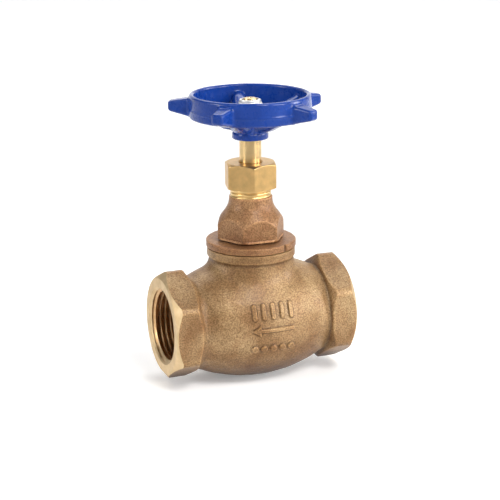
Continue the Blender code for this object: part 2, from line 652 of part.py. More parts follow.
def make_wheel_nut():
    """Washer, locking nut and the nylon ring in the nut's collar."""
    washer_bottom = HUB_TOP + GAP
    washer = ring("wheel_washer", TIP_RADIUS + 0.5, WHEEL_WASHER_RADIUS,
                  washer_bottom, washer_bottom + WASHER_HEIGHT)
    finish_piece(washer, STEEL)
    nut = chamfered_hex("wheel_nut", WHEEL_NUT_FLATS, WHEEL_NUT_BOTTOM, WHEEL_NUT_HEX_TOP, WHEEL_NUT_CORNER,
                        WHEEL_NUT_FACE_RADIUS, WHEEL_NUT_FACE_RADIUS, SMALL_ROUND)
    edge = 0.6
    low = WHEEL_NUT_HEX_TOP - 1
    join(nut, revolve("collar", [
        (0, low), (WHEEL_NUT_COLLAR_RADIUS, low), (WHEEL_NUT_COLLAR_RADIUS, WHEEL_NUT_TOP - edge),
        (WHEEL_NUT_COLLAR_RADIUS - edge, WHEEL_NUT_TOP), (0, WHEEL_NUT_TOP)], SMALL_ROUND))
    lip_radius = TIP_RADIUS + 2 * GAP
    cut(nut, revolve("bore", [
        (0, WHEEL_NUT_BOTTOM - 1), (WHEEL_NUT_BORE, WHEEL_NUT_BOTTOM - 1),
        (WHEEL_NUT_BORE, INSERT_POCKET_BOTTOM), (INSERT_POCKET_RADIUS, INSERT_POCKET_BOTTOM),
        (INSERT_POCKET_RADIUS, INSERT_POCKET_TOP), (lip_radius, INSERT_POCKET_TOP),
        (lip_radius, WHEEL_NUT_TOP + 1), (0, WHEEL_NUT_TOP + 1)], SMALL_ROUND))
    finish_piece(nut, STEEL)
    insert = ring("wheel_nut_insert", WHEEL_NUT_BORE, INSERT_POCKET_RADIUS - GAP,
                  INSERT_POCKET_BOTTOM + GAP, INSERT_POCKET_TOP - GAP)
    finish_piece(insert, NYLON)


def main():
    clear_scene()
    make_body()
    make_bonnet()
    make_gasket()
    make_stem()
    make_gland()
    make_packing()
    make_disc_holder()
    make_disc_parts()
    make_handwheel()
    make_wheel_nut()


main()
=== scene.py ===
"""Looks of the globe valve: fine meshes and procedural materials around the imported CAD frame.

Shapes are worked out in millimetres in the CAD's own frame and scaled to metres when a piece is placed.
A cast piece is a field (negative inside, zero on its skin): a rough shape is voxel remeshed and its
points are then drawn onto the field's zero surface, which gives the casting its soft fillets.
Turned and screwed faces are cut into it afterwards and carry their own bright material.
"""
import math

import bmesh
import bpy
import numpy as np
from mathutils import Matrix, Vector, noise


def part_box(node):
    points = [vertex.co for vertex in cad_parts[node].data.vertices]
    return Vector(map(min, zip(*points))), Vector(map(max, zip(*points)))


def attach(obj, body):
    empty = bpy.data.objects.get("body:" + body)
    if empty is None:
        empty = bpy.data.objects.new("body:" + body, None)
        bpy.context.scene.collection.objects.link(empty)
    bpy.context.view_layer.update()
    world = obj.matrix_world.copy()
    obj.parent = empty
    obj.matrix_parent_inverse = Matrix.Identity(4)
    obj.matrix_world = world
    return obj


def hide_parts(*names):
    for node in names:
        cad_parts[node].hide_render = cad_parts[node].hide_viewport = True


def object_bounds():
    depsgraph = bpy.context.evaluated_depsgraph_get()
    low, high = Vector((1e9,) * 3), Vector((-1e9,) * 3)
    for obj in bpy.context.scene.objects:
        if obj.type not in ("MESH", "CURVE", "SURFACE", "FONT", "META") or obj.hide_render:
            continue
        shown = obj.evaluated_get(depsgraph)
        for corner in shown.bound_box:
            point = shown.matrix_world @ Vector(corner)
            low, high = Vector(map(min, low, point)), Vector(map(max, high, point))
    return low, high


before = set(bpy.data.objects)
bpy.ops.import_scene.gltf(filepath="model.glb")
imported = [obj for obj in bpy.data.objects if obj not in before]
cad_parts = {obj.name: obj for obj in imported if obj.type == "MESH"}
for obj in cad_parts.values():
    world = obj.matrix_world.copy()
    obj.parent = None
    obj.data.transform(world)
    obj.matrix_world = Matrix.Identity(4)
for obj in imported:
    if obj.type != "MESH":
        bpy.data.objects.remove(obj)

CAD_BOX = [list(corner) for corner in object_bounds()]

MM = 0.001
SMOOTH = 160  # facets of a large turned surface
FINE = 96  # facets of a small turned surface
HIDDEN = 64  # facets of a surface that is out of sight or remeshed afterwards
CHAMFER = math.radians(30)  # slope of the turned ends of a hexagon


def heights(node):
    """Lowest and highest point of a CAD node, in millimetres."""
    low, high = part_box(node)
    return round(low.z / MM, 2), round(high.z / MM, 2)


# Ends that the frame gives
FACE = round(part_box("body")[1].x / MM, 2)  # pipe end faces at x = +-FACE
COLLAR_TOP = heights("body")[1]
SKIRT_BOTTOM, NECK_TOP = heights("bonnet")
GLAND_BOTTOM, GLAND_TOP = heights("gland_nut")
BUTTON_BOTTOM, TIP_TOP = heights("stem")
HUB_BOTTOM, RIM_TOP = heights("handwheel")
NUT_BOTTOM, NUT_TOP = heights("wheel_nut")
INSERT_BOTTOM = heights("wheel_nut_insert")[0]
WASHER_BOTTOM, WASHER_TOP = heights("wheel_washer")

# Body; a fillet or an edge is given by the width over which two surfaces blend
HEX_INNER = 30.25  # distance from the middle to a hexagon's inner end
HEX_FLATS = 43.1
HEX_BLUNT = 24.3  # the hexagon's corners are flattened to this radius
HEX_EDGE = 0.3
FACE_RING = 21.0  # radius of the flat face inside the outer chamfer
FACE_SLOPE = 38  # degrees between the outer chamfer and the face
FACE_STOCK = 0.5  # metal that turning takes off an end face
INNER_RING = 21.2  # radius of the inner end inside its chamfer
INNER_EDGES = (0.5, 0.6)
OUTLET_FILLET = 4.2  # between the belly and the hexagon
INLET_FILLET = 1.6
BELLY_RADIUS = 26.8
BELLY_ARC = 66.0  # radius of the barrel's long arc
BARREL_END = 31.0
NECK_RADIUS = 18.6
NECK_FILLET = 4.5
COLLAR_RADIUS = 19.4
COLLAR_BOTTOM = 28.2
COLLAR_STOCK = 0.4  # metal that turning takes off the collar
COLLAR_EDGE = 0.6
COLLAR_FILLET = 0.5

# Foundry marks on the belly's front, by distance along X and up the belly from its middle
MARK_PITCH = 4.2  # from one bar or pip to the next
MARK_HEIGHT = 0.85
MARK_EDGE = 0.5
MARK_FIELD = (12.5, -10, -13, 14.5)  # half its length, its limit in y, its lowest and highest z
BAR_MIDDLE = 9.3
BAR_REACH = 2.7  # half the length of a bar between its round ends
BAR_RADIUS = 0.95
PIP_MIDDLE = -7.6
PIP_RADIUS = 1.5
ARROW_MIDDLE = 1.0
ARROW_TIP = -9.8
ARROW_BARB = -5.8
ARROW_LEAN = math.radians(33)
SHAFT_ENDS = (-7.0, 9.6)
SHAFT_HALF = 0.85

# Ports and passages
PORT_PITCH = 2.309
PORT_MINOR = 15.15
PORT_MAJOR = 16.62
PORT_DEPTH = 16.0
PORT_MOUTH = 17.25
TUNNEL_RADIUS = 12.5
OUTLET_TUNNEL_END = -14.5
INLET_TUNNEL_END = 19.6
CHAMBER_RADIUS = 16.2
CHAMBER_FLOOR = 1.7
SEAT_TOP = 2.7
SEAT_BORE = 11.0
SEAT_OUTER = 12.6
LOWER_CHAMBER_RADIUS = 11.5
LOWER_CHAMBER_TOP = -1.5
LOWER_CHAMBER_FLOOR = -21.0
GASKET_SEAT = 30.9
GASKET_SEAT_RADIUS = 18.4

# Bonnet
FLANGE_RADIUS = 19.78
FLANGE_BOTTOM = 32.35
FLANGE_TOP = 35.6
FLANGE_EDGE = 0.7
SKIRT_RADIUS = 15.9
SKIRT_INNER = 13.0
WAIST_RADIUS = 12.7  # recess under the hexagon
BONNET_HEX_FLATS = 26.5
BONNET_HEX_BOTTOM = 36.3
BONNET_HEX_CORNER = -3.6  # degrees about +Z
BONNET_HEX_EDGE = 0.35
LEDGE_FLATS = BONNET_HEX_FLATS + 0.9
LEDGE_HEIGHT = 0.8
LEDGE_RADIUS = 14.9
BELL_TOP = 54.8
BELL_OUTLINE = [(30, 16.4), (41.4, 15.8), (43.7, 14.7), (46.0, 13.3), (47.8, 11.9), (49.3, 10.75),
                (51.0, 9.95), (53.0, 9.5), (70, 9.4)]  # height and radius
NICK_ANGLE = math.radians(-62.5)
NICK_RADIUS = 0.95
NICK_DISTANCE = 20.0
NECK_PITCH = 1.5
NECK_THREAD = 9.0  # radius over the thread of the bonnet's neck
NECK_CORE = NECK_THREAD - 0.45
STEM_NUT_BORE = 5.4
STEM_NUT_ENDS = (31.0, 40.0)
BACK_SEAT = 49.0
BACK_SEAT_RADIUS = 6.9
STUFFING_FLOOR = 51.0
STUFFING_RADIUS = 7.3
STEM_HOLE = 5.1

# Gland nut
GLAND_FLATS = 21.0
GLAND_CORNER = 16.2  # degrees about +Z
GLAND_FOOT = 11.3  # radius of the bottom face inside its chamfer
GLAND_RING = 10.4  # radius of the top face inside its chamfer
GLAND_BORE = 9.3
GLAND_CEILING = 66.8

# Stem
STEM_RADIUS = 4.8
STEM_NECK = 5.0
STEM_WAIST = 4.3  # behind the screw
STEM_PITCH = 3.0
STEM_ROOT = 4.9
STEM_CREST = 6.5
STEM_SCREW = (30.0, 48.5)
STEM_LEAN = math.tan(math.radians(15))
STEM_SHOULDER = 81.2
BUTTON_RADIUS = 8.2
BUTTON_TOP = 21.2
SQUARE_FLATS = 6.6
SQUARE_TOP = 90.2
TIP_RADIUS = 2.9
TIP_DIMPLE = 0.7  # radius of the centre hole

# Handwheel
LOBES = 5
FIRST_LOBE = -62.6  # degrees about +Z
LOBE_ROOT = 25.6
LOBE_TIP = 35.5
LOBE_ROOT_HEIGHT = 93.7
LOBE_TIP_HEIGHT = 94.3
LOBE_HALF_HEIGHT = 3.9  # at the rim
LOBE_THINNING = 1.75
LOBE_HALF_WIDTH = 3.5  # at the rim
LOBE_NARROWING = 1.05
LOBE_EDGE = 1.2
LOBE_FILLET = 1.3
RIM_INNER = 24.25
RIM_OUTER = 26.7
RIM_BOTTOM = 89.5
RIM_EDGE = 1.0
RIM_DRAFT = (0.07, 0.10)  # taper above and below the parting line
PARTING = 93.4  # height of the rim's parting line
PARTING_RIDGE = (0.18, 0.35)  # its height and half its width
HUB_RADIUS = 7.2
HUB_COLLAR_RADIUS = 7.9
HUB_COLLAR_TOP = 82.8
HUB_TOP = 90.6
HUB_EDGE = 0.5
ARM_TOP = [(5.0, 89.3), (9.5, 89.4), (20.5, 95.2), (25.2, 97.0)]  # radius and height
ARM_BOTTOM = [(5.0, 83.4), (11.5, 84.5), (19.6, 88.8), (25.2, 90.7)]
ARM_ENDS = (3, 25.2)
ARM_TAPER = [(9, 4.3), (24, 3.0)]  # radius and half width
ARM_EDGE = 2.6
ARM_FILLET = 1.8
WHEEL_FILLET = 1.6
SQUARE_HOLE = 7.2

# Wheel nut with its insert, and washer
NUT_FLATS = 10.0
NUT_CORNER = FIRST_LOBE + 20
NUT_HEX_TOP = 96.0
NUT_RING = 5.0  # radius of the hexagon's top inside its chamfer
NUT_COLLAR = 4.75
NUT_BORE = 3.2
NUT_COUNTERBORE = 4.1
NUT_LIP = 3.75  # radius of the opening over the insert
INSERT_OUTER = 3.8
INSERT_TOP = 96.9
WASHER_INNER = 3.4
WASHER_OUTER = 6.2

# Camera and stage, in metres and degrees
CAMERA_AZIMUTH = 21.61  # from the -Y direction towards -X
CAMERA_ELEVATION = 15.82
CAMERA_ROLL = -0.35
CAMERA_DISTANCE = 0.67403
CAMERA_LENS = 109.9  # millimetres, on a 36 mm sensor
CAMERA_HEIGHT = 0.02982  # of the point that it looks at
CAMERA_SIDESTEP = 0.00042
FLOOR_SIZE = 6
FLOOR_GAP = 0.0004
# painted light: the floor's own emission, a pool under the valve, dim between and brighter far away
FLOOR_GLOW = [(0.14, 0.20), (0.24, 0.04), (0.45, 0.04), (1.0, 0.5)]  # distance and strength
SKY = [(0.17, 0.76), (0.22, 0.04)]  # sine of the elevation, and brightness


# ---- fields

def soft_min(a, b, width):
    """Union of two fields with a fillet about as wide as width."""
    near = np.maximum(width - np.abs(a - b), 0) / width
    return np.minimum(a, b) - near * near * width / 4


def soft_max(a, b, width):
    """Intersection of two fields with an edge rounded over width."""
    return -soft_min(-a, -b, width)


def hexagon(u, v, flats, corner, width):
    """Hexagonal column in the u, v plane with a corner at the given angle in degrees."""
    angles = [math.radians(corner + 30 + 60 * k) for k in range(3)]
    sides = [np.abs(u * math.cos(a) + v * math.sin(a)) - flats / 2 for a in angles]
    return soft_max(soft_max(sides[0], sides[1], width), sides[2], width)


def slab(coordinate, low, high):
    """Space between two parallel planes."""
    return np.abs(coordinate - (low + high) / 2) - (high - low) / 2


def rounded(distances, radius):
    """Box-like intersection of the given distances with round edges."""
    inner = [d + radius for d in distances]
    outside = np.sqrt(sum(np.maximum(d, 0) ** 2 for d in inner))
    inside = np.minimum(np.maximum.reduce(inner), 0)
    return outside + inside - radius


def smooth_step(value):
    """Rise from 0 to 1 as value does, level at both ends."""
    t = np.clip(value, 0, 1)
    return t * t * (3 - 2 * t)


def foundry_marks(u, v):
    """Distance in the plane to a row of bars over a flow arrow, which points at -X, over a row of pips."""
    column = np.clip(np.round(u / MARK_PITCH), -2, 2) * MARK_PITCH
    bars = np.hypot(u - column, np.maximum(np.abs(v - BAR_MIDDLE) - BAR_REACH, 0)) - BAR_RADIUS
    pips = np.hypot(u - column, v - PIP_MIDDLE) - PIP_RADIUS
    aside = np.abs(v - ARROW_MIDDLE)
    shaft = np.maximum(slab(u, *SHAFT_ENDS), aside - SHAFT_HALF)
    flank = aside * math.cos(ARROW_LEAN) - (u - ARROW_TIP) * math.sin(ARROW_LEAN)
    head = np.maximum(flank, u - ARROW_BARB)
    return np.minimum(np.minimum(bars, pips), np.minimum(shaft, head))


def chamfer(height, outside):
    """Cone by the height above its ring and the distance outside it."""
    return height * math.cos(CHAMFER) + outside * math.sin(CHAMFER)


def belly_radius(x):
    """Radius of the barrel-shaped belly at a distance along X."""
    along = np.minimum(np.abs(x), FACE + 1)
    return BELLY_RADIUS - BELLY_ARC + np.sqrt(BELLY_ARC ** 2 - along ** 2)


def body_field(p):
    """Belly, neck, collar and the two hexagons, with the raised foundry marks."""
    x, y, z = p.T
    across = np.hypot(y, z)
    around = np.hypot(x, y)
    belly = np.maximum(across - belly_radius(x), np.abs(x) - FACE)
    neck = np.maximum(around - NECK_RADIUS, slab(z, 0, COLLAR_TOP + COLLAR_STOCK))
    skin = soft_min(belly, neck, NECK_FILLET)
    ends = soft_max(hexagon(y, z, HEX_FLATS, 90, HEX_EDGE), hexagon(y, z, 2 * HEX_BLUNT, 60, HEX_EDGE),
                    HEX_EDGE)
    ends = soft_max(ends, chamfer(HEX_INNER - np.abs(x), across - INNER_RING), INNER_EDGES[0])
    ends = soft_max(ends, slab(np.abs(x), HEX_INNER, FACE + FACE_STOCK), INNER_EDGES[1])
    skin = soft_min(skin, ends, np.where(x < 0, OUTLET_FILLET, INLET_FILLET))
    collar = slab(z, COLLAR_BOTTOM, COLLAR_TOP + COLLAR_STOCK)
    collar = soft_max(around - COLLAR_RADIUS, collar, COLLAR_EDGE)
    skin = soft_min(skin, collar, COLLAR_FILLET)
    up_the_belly = BELLY_RADIUS * np.arctan2(z, -y)
    raised = MARK_HEIGHT * smooth_step(0.5 - foundry_marks(x, up_the_belly) / MARK_EDGE)
    return skin - raised


def bell_radius(z):
    """Outline of the bonnet's bell, rounded between its turning points."""
    blur = [-0.9, -0.3, 0.3, 0.9]
    return sum(np.interp(z + step, *zip(*BELL_OUTLINE)) for step in blur) / len(blur)


def bonnet_field(p):
    """Flange and skirt, waist, hexagon with its ledge, and the bell that cuts into its corners."""
    x, y, z = p.T
    around = np.hypot(x, y)
    bell = (around - bell_radius(z)) * 0.8
    head = soft_max(hexagon(x, y, BONNET_HEX_FLATS, BONNET_HEX_CORNER, BONNET_HEX_EDGE), bell, 0.08)
    head = soft_max(head, slab(z, BONNET_HEX_BOTTOM, BELL_TOP), 0.3)
    ledge = hexagon(x, y, LEDGE_FLATS, BONNET_HEX_CORNER, 0.5)
    ledge = soft_max(ledge, slab(z, BONNET_HEX_BOTTOM, BONNET_HEX_BOTTOM + LEDGE_HEIGHT), 0.3)
    head = soft_min(head, soft_max(ledge, around - LEDGE_RADIUS, 0.3), 0.3)
    waist = np.maximum(around - WAIST_RADIUS, slab(z, FLANGE_TOP - 1, BONNET_HEX_BOTTOM + 1))
    flange = rounded([around - FLANGE_RADIUS, slab(z, FLANGE_BOTTOM, FLANGE_TOP)], FLANGE_EDGE)
    skirt = np.maximum(around - SKIRT_RADIUS, slab(z, SKIRT_BOTTOM, FLANGE_TOP - 1))
    skin = soft_min(soft_min(head, waist, 0.4), soft_min(flange, skirt, 0.3), 0.5)
    nick_x = NICK_DISTANCE * math.cos(NICK_ANGLE)
    nick_y = NICK_DISTANCE * math.sin(NICK_ANGLE)
    nick = np.hypot(x - nick_x, y - nick_y) - NICK_RADIUS
    return soft_max(skin, -nick, 0.2)


def gland_field(p):
    """Hexagon nut with both ends chamfered."""
    x, y, z = p.T
    around = np.hypot(x, y)
    sides = hexagon(x, y, GLAND_FLATS, GLAND_CORNER, 0.35)
    cones = np.maximum(chamfer(z - GLAND_TOP, around - GLAND_RING),
                       chamfer(GLAND_BOTTOM - z, around - GLAND_FOOT))
    ends = soft_max(slab(z, GLAND_BOTTOM, GLAND_TOP), cones, 0.15)
    return soft_max(sides, ends, 0.2)


def in_sector(p):
    """Distance along the nearest lobe, distance across it, and height."""
    x, y, z = p.T
    step = math.tau / LOBES
    angle = np.arctan2(y, x) - math.radians(FIRST_LOBE)
    angle = np.mod(angle + step / 2, step) - step / 2
    radius = np.hypot(x, y)
    return radius * np.cos(angle), radius * np.sin(angle), z


def lobe_section(along):
    """A lobe's middle height, half its height and half its width, at a distance from the wheel's axis."""
    out = (along - RIM_OUTER) / (LOBE_TIP - RIM_OUTER)
    rise = (LOBE_TIP_HEIGHT - LOBE_ROOT_HEIGHT) / (LOBE_TIP - RIM_INNER)
    middle = LOBE_ROOT_HEIGHT + rise * (along - RIM_INNER)
    return middle, LOBE_HALF_HEIGHT - LOBE_THINNING * out, LOBE_HALF_WIDTH - LOBE_NARROWING * out


def wheel_field(p):
    """Rim with its parting line, lobes, arms, and hub on its collar."""
    along, across, z = in_sector(p)
    around = np.hypot(along, across)
    above, below = RIM_DRAFT
    outer = RIM_OUTER - above * np.maximum(z - PARTING, 0) - below * np.maximum(PARTING - z, 0)
    rim = rounded([around - outer, RIM_INNER - around, slab(z, RIM_BOTTOM, RIM_TOP)], RIM_EDGE)
    ridge, ridge_half = PARTING_RIDGE
    outside = around > (RIM_INNER + RIM_OUTER) / 2
    rim = rim - ridge * np.exp(-((z - PARTING) / ridge_half) ** 2) * outside
    middle, half_height, half_width = lobe_section(np.clip(along, RIM_INNER, LOBE_TIP))
    lobe = rounded([np.abs(across) - half_width, np.abs(z - middle) - half_height,
                    slab(along, LOBE_ROOT, LOBE_TIP)], LOBE_EDGE)
    top = np.interp(along, *zip(*ARM_TOP))
    bottom = np.interp(along, *zip(*ARM_BOTTOM))
    lean = 0.9  # shortens heights, because the arms rise outwards
    arm = rounded([np.abs(across) - np.interp(along, *zip(*ARM_TAPER)),
                   np.abs(z - (top + bottom) / 2) * lean - (top - bottom) * (lean / 2),
                   slab(along, *ARM_ENDS)], ARM_EDGE)
    collar = rounded([around - HUB_COLLAR_RADIUS, slab(z, HUB_BOTTOM, HUB_COLLAR_TOP)], HUB_EDGE)
    hub = rounded([around - HUB_RADIUS, slab(z, HUB_BOTTOM + 1, HUB_TOP)], HUB_EDGE)
    hub = soft_min(hub, collar, HUB_EDGE)
    return soft_min(soft_min(rim, lobe, LOBE_FILLET), soft_min(hub, arm, ARM_FILLET), WHEEL_FILLET)


def nut_field(p):
    """Chamfered hexagon under the round collar that holds the insert."""
    x, y, z = p.T
    around = np.hypot(x, y)
    cone = chamfer(z - NUT_HEX_TOP, around - NUT_RING)
    body = soft_max(hexagon(x, y, NUT_FLATS, NUT_CORNER, 0.25), cone, 0.2)
    body = soft_max(body, slab(z, NUT_BOTTOM, NUT_HEX_TOP + 0.3), 0.2)
    collar = rounded([around - NUT_COLLAR, slab(z, NUT_BOTTOM + 2, NUT_TOP)], 0.7)
    return soft_min(body, collar, 0.3)


# ---- meshes

def new_object(name, data):
    """New object in the scene, for a mesh, light or camera."""
    obj = bpy.data.objects.new(name, data)
    bpy.context.scene.collection.objects.link(obj)
    return obj


def object_from(bm, name):
    """New object of the bmesh, which it frees."""
    bmesh.ops.recalc_face_normals(bm, faces=bm.faces)
    mesh = bpy.data.meshes.new(name)
    bm.to_mesh(mesh)
    bm.free()
    return new_object(name, mesh)


def bridge(bm, first, second):
    """Faces between two closed rings of points, either of which may be a single point."""
    count = max(len(first), len(second))
    for k in range(count):
        n = (k + 1) % count
        if len(first) == 1:
            bm.faces.new((first[0], second[k], second[n]))
        elif len(second) == 1:
            bm.faces.new((first[k], first[n], second[0]))
        else:
            bm.faces.new((first[k], first[n], second[n], second[k]))


def turn_to_x(bm):
    """Lay a shape that was built along Z along X."""
    bmesh.ops.rotate(bm, verts=bm.verts, matrix=Matrix.Rotation(math.radians(90), 3, "Y"))


def circle_point(radius, angle, height):
    return Vector((radius * math.cos(angle), radius * math.sin(angle), height))


def revolve(name, outline, facets=SMOOTH, along_x=False):
    """Turn (radius, height) points about the axis: a ring where no point lies on it, else a solid."""
    bm = bmesh.new()
    rings = []
    for radius, height in outline:
        count = facets if radius > 0 else 1
        angles = [math.tau * (k + 0.5) / facets for k in range(count)]
        rings.append([bm.verts.new(circle_point(radius, a, height)) for a in angles])
    for first, second in zip(rings, rings[1:]):
        bridge(bm, first, second)
    if outline[0][0] > 0:
        bridge(bm, rings[-1], rings[0])
    if along_x:
        turn_to_x(bm)
    return object_from(bm, name)


def cylinder(name, radius, bottom, top, facets=SMOOTH, along_x=False):
    outline = [(0, bottom), (radius, bottom), (radius, top), (0, top)]
    return revolve(name, outline, facets, along_x)


def prism(name, outline, bottom, top, along_x=False):
    """Solid of the given outline between two heights."""
    bm = bmesh.new()
    lower = [bm.verts.new((x, y, bottom)) for x, y in outline]
    upper = [bm.verts.new((x, y, top)) for x, y in outline]
    bm.faces.new(lower)
    bm.faces.new(upper)
    bridge(bm, lower, upper)
    if along_x:
        turn_to_x(bm)
    return object_from(bm, name)


def polygon(sides, flats, corner):
    """Regular outline by its width over flats, with a corner at the given angle in degrees."""
    corner_radius = flats / 2 / math.cos(math.pi / sides)
    angles = [math.radians(corner) + math.tau * k / sides for k in range(sides)]
    return [(corner_radius * math.cos(a), corner_radius * math.sin(a)) for a in angles]


def thread(name, tooth, pitch, bottom, top, facets, along_x=False):
    """Right-hand screw with tooth points (radius, offset), centred on whole pitches at angle 0.

    It is longer than asked, with a pointed cap at each end, so the caller cuts it to length.
    """
    bm = bmesh.new()
    start = (math.floor(bottom / pitch) - 2) * pitch
    turns = math.ceil((top - start) / pitch) + 2
    steps = turns * facets
    last = len(tooth) - 1

    def point(step, index):
        radius, offset = tooth[index]
        return bm.verts.new(circle_point(radius, math.tau * step / facets,
                                         start + pitch * step / facets + offset))

    grid = [[point(step, index) for index in range(last + 1)] for step in range(steps + 1)]
    for step in range(steps):
        for index in range(last):
            bm.faces.new((grid[step][index], grid[step + 1][index],
                          grid[step + 1][index + 1], grid[step][index + 1]))
    for step in range(steps - facets):
        bm.faces.new((grid[step][last], grid[step + 1][last],
                      grid[step + facets + 1][0], grid[step + facets][0]))
    low_tip = bm.verts.new((0, 0, start - pitch))
    high_tip = bm.verts.new((0, 0, start + (turns + 1) * pitch))
    for step in range(facets):
        high = steps - facets + step
        bm.faces.new((low_tip, grid[step][0], grid[step + 1][0]))
        bm.faces.new((high_tip, grid[high][last], grid[high + 1][last]))
    bm.faces.new([low_tip] + grid[0] + [grid[facets][0]])
    bm.faces.new([high_tip] + grid[steps][::-1] + [grid[steps - facets][last]])
    if along_x:
        turn_to_x(bm)
    return object_from(bm, name)


def apply_modifiers(obj):
    """Turn the object's modifiers into mesh."""
    bpy.context.view_layer.update()
    evaluated = obj.evaluated_get(bpy.context.evaluated_depsgraph_get())
    mesh = bpy.data.meshes.new_from_object(evaluated)
    obj.modifiers.clear()
    obj.data = mesh


def combine(target, other, operation, material=0):
    """Boolean with the fast solver; faces that come from other take the material's index."""
    other.data.polygons.foreach_set("material_index", [material] * len(other.data.polygons))
    modifier = target.modifiers.new("combine", "BOOLEAN")
    modifier.operation = operation
    modifier.solver = "MANIFOLD"
    modifier.object = other
    apply_modifiers(target)
    bpy.data.objects.remove(other)


def rows_of(mesh, attribute):
    """The co or normal of every vertex, a row each."""
    values = np.empty(len(mesh.vertices) * 3, np.float32)
    mesh.vertices.foreach_get(attribute, values)
    return values.reshape(-1, 3).astype(float)


def move_points(mesh, points):
    mesh.vertices.foreach_set("co", points.astype(np.float32).ravel())
    mesh.update()


def draw_onto(mesh, field, steps):
    """Newton steps that bring every point onto the field's zero surface."""
    p = rows_of(mesh, "co")
    reach = 0.02  # to either side, for the slope
    shallow = 0.25  # smallest square of a slope that is trusted
    longest = 1.0
    for _ in range(steps):
        slope = np.empty_like(p)
        for axis in range(3):
            shift = np.zeros(3)
            shift[axis] = reach
            slope[:, axis] = (field(p + shift) - field(p - shift)) / (2 * reach)
        steep = np.maximum((slope ** 2).sum(1), shallow)
        move = slope * (field(p) / steep)[:, None]
        far = np.linalg.norm(move, axis=1)
        move *= (np.minimum(far, longest) / np.maximum(far, 1e-9))[:, None]
        p -= move
    move_points(mesh, p)


def subdivide_where(mesh, inside):
    """Halve the quads whose centres lie inside the given test."""
    bm = bmesh.new()
    bm.from_mesh(mesh)
    edges = {e for f in bm.faces if inside(f.calc_center_median()) for e in f.edges}
    bmesh.ops.subdivide_edges(bm, edges=list(edges), cuts=1, use_grid_fill=True)
    bmesh.ops.triangulate(bm, faces=[f for f in bm.faces if len(f.verts) > 4])
    bm.to_mesh(mesh)
    bm.free()


def cast_skin(name, rough, field, voxel, rounds=3, finer=None):
    """Skin of a field: rough closed shapes are merged by a voxel remesh, then relaxed onto it."""
    bm = bmesh.new()
    for obj in rough:
        bm.from_mesh(obj.data)
        bpy.data.objects.remove(obj)
    skin = object_from(bm, name)
    remesh = skin.modifiers.new("remesh", "REMESH")
    remesh.mode = "VOXEL"
    remesh.voxel_size = voxel
    apply_modifiers(skin)
    for _ in range(rounds):
        draw_onto(skin.data, field, 2)
        relax = skin.modifiers.new("relax", "SMOOTH")
        relax.factor = 0.5
        relax.iterations = 2
        apply_modifiers(skin)
    if finer:
        subdivide_where(skin.data, finer)
    draw_onto(skin.data, field, 3)
    return skin


def roughen(obj, height, size, seed):
    """Slight waviness of a casting along its normals, size millimetres long."""
    p = rows_of(obj.data, "co")
    offset = Vector((seed, seed, seed))
    wave = np.array([noise.fractal(Vector(q) / size + offset, 0.6, 2.1, 3) for q in p])
    move_points(obj.data, p + rows_of(obj.data, "normal") * (wave * height)[:, None])


def place(obj, body, node, materials, sharp=35):
    """Scale a piece to metres, shade it, give it its materials, and put it on its body for the node."""
    mesh = obj.data
    mesh.transform(Matrix.Scale(MM, 4))
    indices = np.zeros(len(mesh.polygons), np.int32)
    mesh.polygons.foreach_get("material_index", indices)
    mesh.materials.clear()
    for material in materials:
        mesh.materials.append(material)
    mesh.polygons.foreach_set("material_index", indices)
    mesh.shade_smooth()
    mesh.set_sharp_from_angle(angle=math.radians(sharp))
    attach(obj, body)
    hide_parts(node)


# ---- materials

def set_inputs(node, values):
    """Set a node's unlinked inputs by name."""
    for name, value in values.items():
        node.inputs[name].default_value = value


def colour_ramp(nodes, stops):
    """New colour ramp node with stops of position and colour."""
    node = nodes.new("ShaderNodeValToRGB")
    elements = node.color_ramp.elements
    while len(elements) < len(stops):
        elements.new(0.5)
    for element, (position, colour) in zip(elements, stops):
        element.position = position
        element.color = (*colour, 1)
    return node


